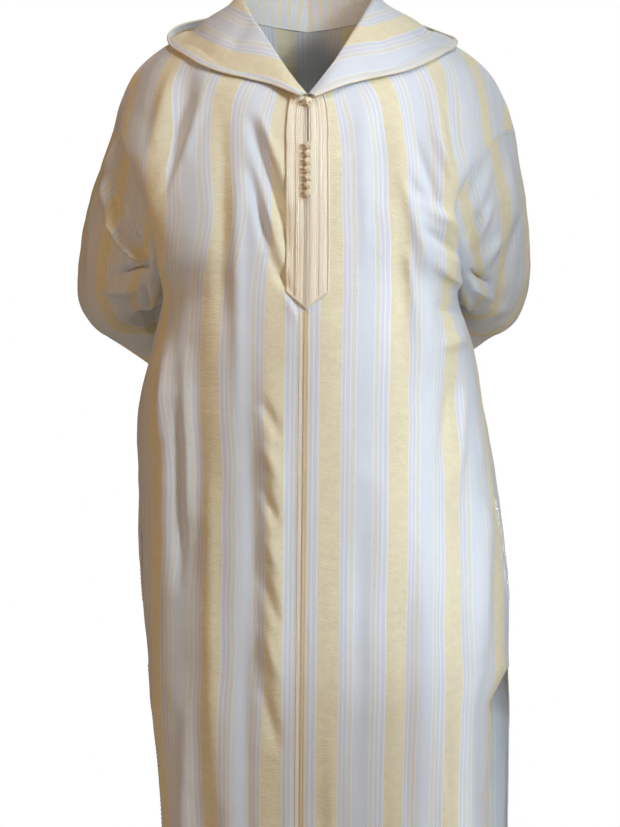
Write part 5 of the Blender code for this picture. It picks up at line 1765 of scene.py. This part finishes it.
def add_light(name, place, aim, size, power, colour, spread):
    lamp = bpy.data.lights.new(name, "AREA")
    lamp.shape = "RECTANGLE"
    lamp.size, lamp.size_y = size
    lamp.energy = power
    lamp.color = colour
    lamp.spread = np.radians(spread)
    made = bpy.data.objects.new(name, lamp)
    made.location = place
    made.rotation_euler = (Vector(aim) - Vector(place)).to_track_quat("-Z", "Y").to_euler()
    bpy.context.scene.collection.objects.link(made)


def add_camera():
    camera = bpy.data.cameras.new("camera")
    camera.lens = 82
    camera.sensor_fit = "VERTICAL"
    camera.sensor_height = 36
    made = bpy.data.objects.new("camera", camera)
    made.location = (0.003, -2.6, -0.52)
    made.rotation_euler = (np.radians(90), 0, 0)
    bpy.context.scene.collection.objects.link(made)
    bpy.context.scene.camera = made


def add_floor():
    bpy.ops.object.select_all(action="DESELECT")
    bpy.ops.mesh.primitive_plane_add(size=3.2, location=(0, 0, HEM_HEIGHT - FLOOR_DROP))
    floor = bpy.context.active_object
    bpy.ops.object.mode_set(mode="EDIT")
    bpy.ops.mesh.select_all(action="SELECT")
    bpy.ops.mesh.subdivide(number_cuts=3)
    bpy.ops.object.mode_set(mode="OBJECT")
    bpy.ops.object.transform_apply(location=True, rotation=True, scale=True)
    floor.name = floor.data.name = "floor"
    floor.data.materials.append(pale_floor())


def add_world():
    """A warm glow on the robe, and plain white behind it."""
    world = bpy.data.worlds.new("studio")
    world.use_nodes = True
    tree = world.node_tree
    ground = tree.nodes["Background"]
    ground.inputs["Color"].default_value = (1.0, 0.66, 0.38, 1)
    ground.inputs["Strength"].default_value = 0.14
    seen = tree.nodes.new("ShaderNodeBackground")
    seen.inputs["Color"].default_value = (1, 1, 1, 1)
    path = tree.nodes.new("ShaderNodeLightPath")
    mix = tree.nodes.new("ShaderNodeMixShader")
    tree.links.new(path.outputs["Is Camera Ray"], mix.inputs[0])
    tree.links.new(ground.outputs[0], mix.inputs[1])
    tree.links.new(seen.outputs[0], mix.inputs[2])
    tree.links.new(mix.outputs[0], tree.nodes["World Output"].inputs["Surface"])
    bpy.context.scene.world = world


def build_stage():
    add_camera()
    bpy.context.scene.view_settings.view_transform = "Standard"
    add_floor()
    add_world()
    for light in LIGHTS:
        add_light(*light)


# ---- the add-on ----------------------------------------------------------------------------
def colour_property(name, description, value):
    return bpy.props.FloatVectorProperty(name=name, description=description, default=value,
                                         subtype="COLOR", size=3, min=0.0, max=1.0)


class RobeProperties(bpy.types.PropertyGroup):
    shell: bpy.props.FloatProperty(
        name="Cloth thickness", description="Thickness of the visible cloth", default=SHELL,
        min=0.0005, max=0.0018, precision=4, unit="LENGTH")
    crease_depth: bpy.props.FloatProperty(
        name="Crease depth", description="How deep the creases are for their table",
        default=1.0, min=0.0, max=1.5, subtype="FACTOR")
    butter: colour_property("Butter", "Colour of the matt crepe stripes", (0.87, 0.82, 0.62))
    ice: colour_property("Ice white", "Colour of the wide satin stripes", (0.76, 0.83, 0.94))
    white: colour_property("White", "Colour of the thin bright lines", (0.86, 0.93, 1.00))
    lilac: colour_property("Lilac", "Colour of the narrow lilac stripes", (0.76, 0.80, 0.905))
    cream: colour_property("Cream", "Colour of the narrow cream stripes", (0.79, 0.82, 0.83))
    braid: colour_property("Braid", "Colour of the placket's flat braid", (0.985, 0.922, 0.772))
    braid_cord: colour_property("Braid cords", "Colour of the cords laid on the placket",
                                (1.00, 0.94, 0.81))
    cord: colour_property("Cord", "Colour of the cord down the front", (0.93, 0.79, 0.56))
    button: colour_property("Buttons", "Colour of the knotted buttons and loops", (1.00, 0.90, 0.70))
    pale_cord: colour_property("Side cords", "Colour of the cords at the vents and pocket slits",
                               (0.86, 0.89, 0.92))
    piping: colour_property("Piping", "Colour of the hood's rolled edge", (0.94, 0.90, 0.80))
    thread: colour_property("Thread", "Colour of the sewing thread", (0.80, 0.76, 0.66))


def operator(name, label, text, build):
    """An operator class that builds one piece, or one group of like pieces."""
    def execute(self, context):
        build()
        return {"FINISHED"}
    return type("ROBE_OT_" + name, (bpy.types.Operator,), {
        "bl_idname": "robe." + name, "bl_label": label, "__doc__": text, "execute": execute})


OPERATORS = (
    operator("fronts", "Front panels", "The two front panels, striped and creased", build_fronts),
    operator("back", "Back panel", "The back panel, in one piece", build_back),
    operator("sleeves", "Sleeves", "Both sleeves, bent behind the back", build_sleeves),
    operator("hood", "Hood", "Both halves of the hood, thrown back", build_hood),
    operator("placket", "Placket", "The braided placket with its laid cords", build_placket),
    operator("centre_cord", "Centre cord", "The cord and ribbon down the front", build_centre_cord),
    operator("hood_edge", "Hood edge", "The rolled edge along the hood's rim", build_hood_edge),
    operator("slit_cords", "Side cords", "The twisted cords at vents and pockets", build_slit_cords),
    operator("buttons", "Buttons and loops", "The knotted buttons and their loops", build_buttons),
    operator("stitches", "Stitches", "Stitches along hems, hood and armholes", build_stitches),
    operator("stage", "Stage", "The floor, the lights and the camera", build_stage),
)


class ROBE_PT_panel(bpy.types.Panel):
    """The robe's sizes, colours and pieces in the sidebar."""
    bl_label = "Djellaba robe"
    bl_idname = "ROBE_PT_panel"
    bl_space_type = "VIEW_3D"
    bl_region_type = "UI"
    bl_category = "Robe"

    def draw(self, context):
        for key in RobeProperties.__annotations__:
            self.layout.prop(context.scene.robe, key)
        for made in OPERATORS:
            self.layout.operator(made.bl_idname)


CLASSES = (RobeProperties, *OPERATORS, ROBE_PT_panel)


def register():
    for made in CLASSES:
        bpy.utils.register_class(made)
    bpy.types.Scene.robe = bpy.props.PointerProperty(type=RobeProperties)


def unregister():
    del bpy.types.Scene.robe
    for made in reversed(CLASSES):
        bpy.utils.unregister_class(made)


def corners(box):
    return [[float(value) for value in corner] for corner in box]


def main():
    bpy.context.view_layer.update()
    register()
    for made in OPERATORS:
        getattr(bpy.ops.robe, made.bl_idname.split(".")[1])()


if __name__ == "__main__":
    main()
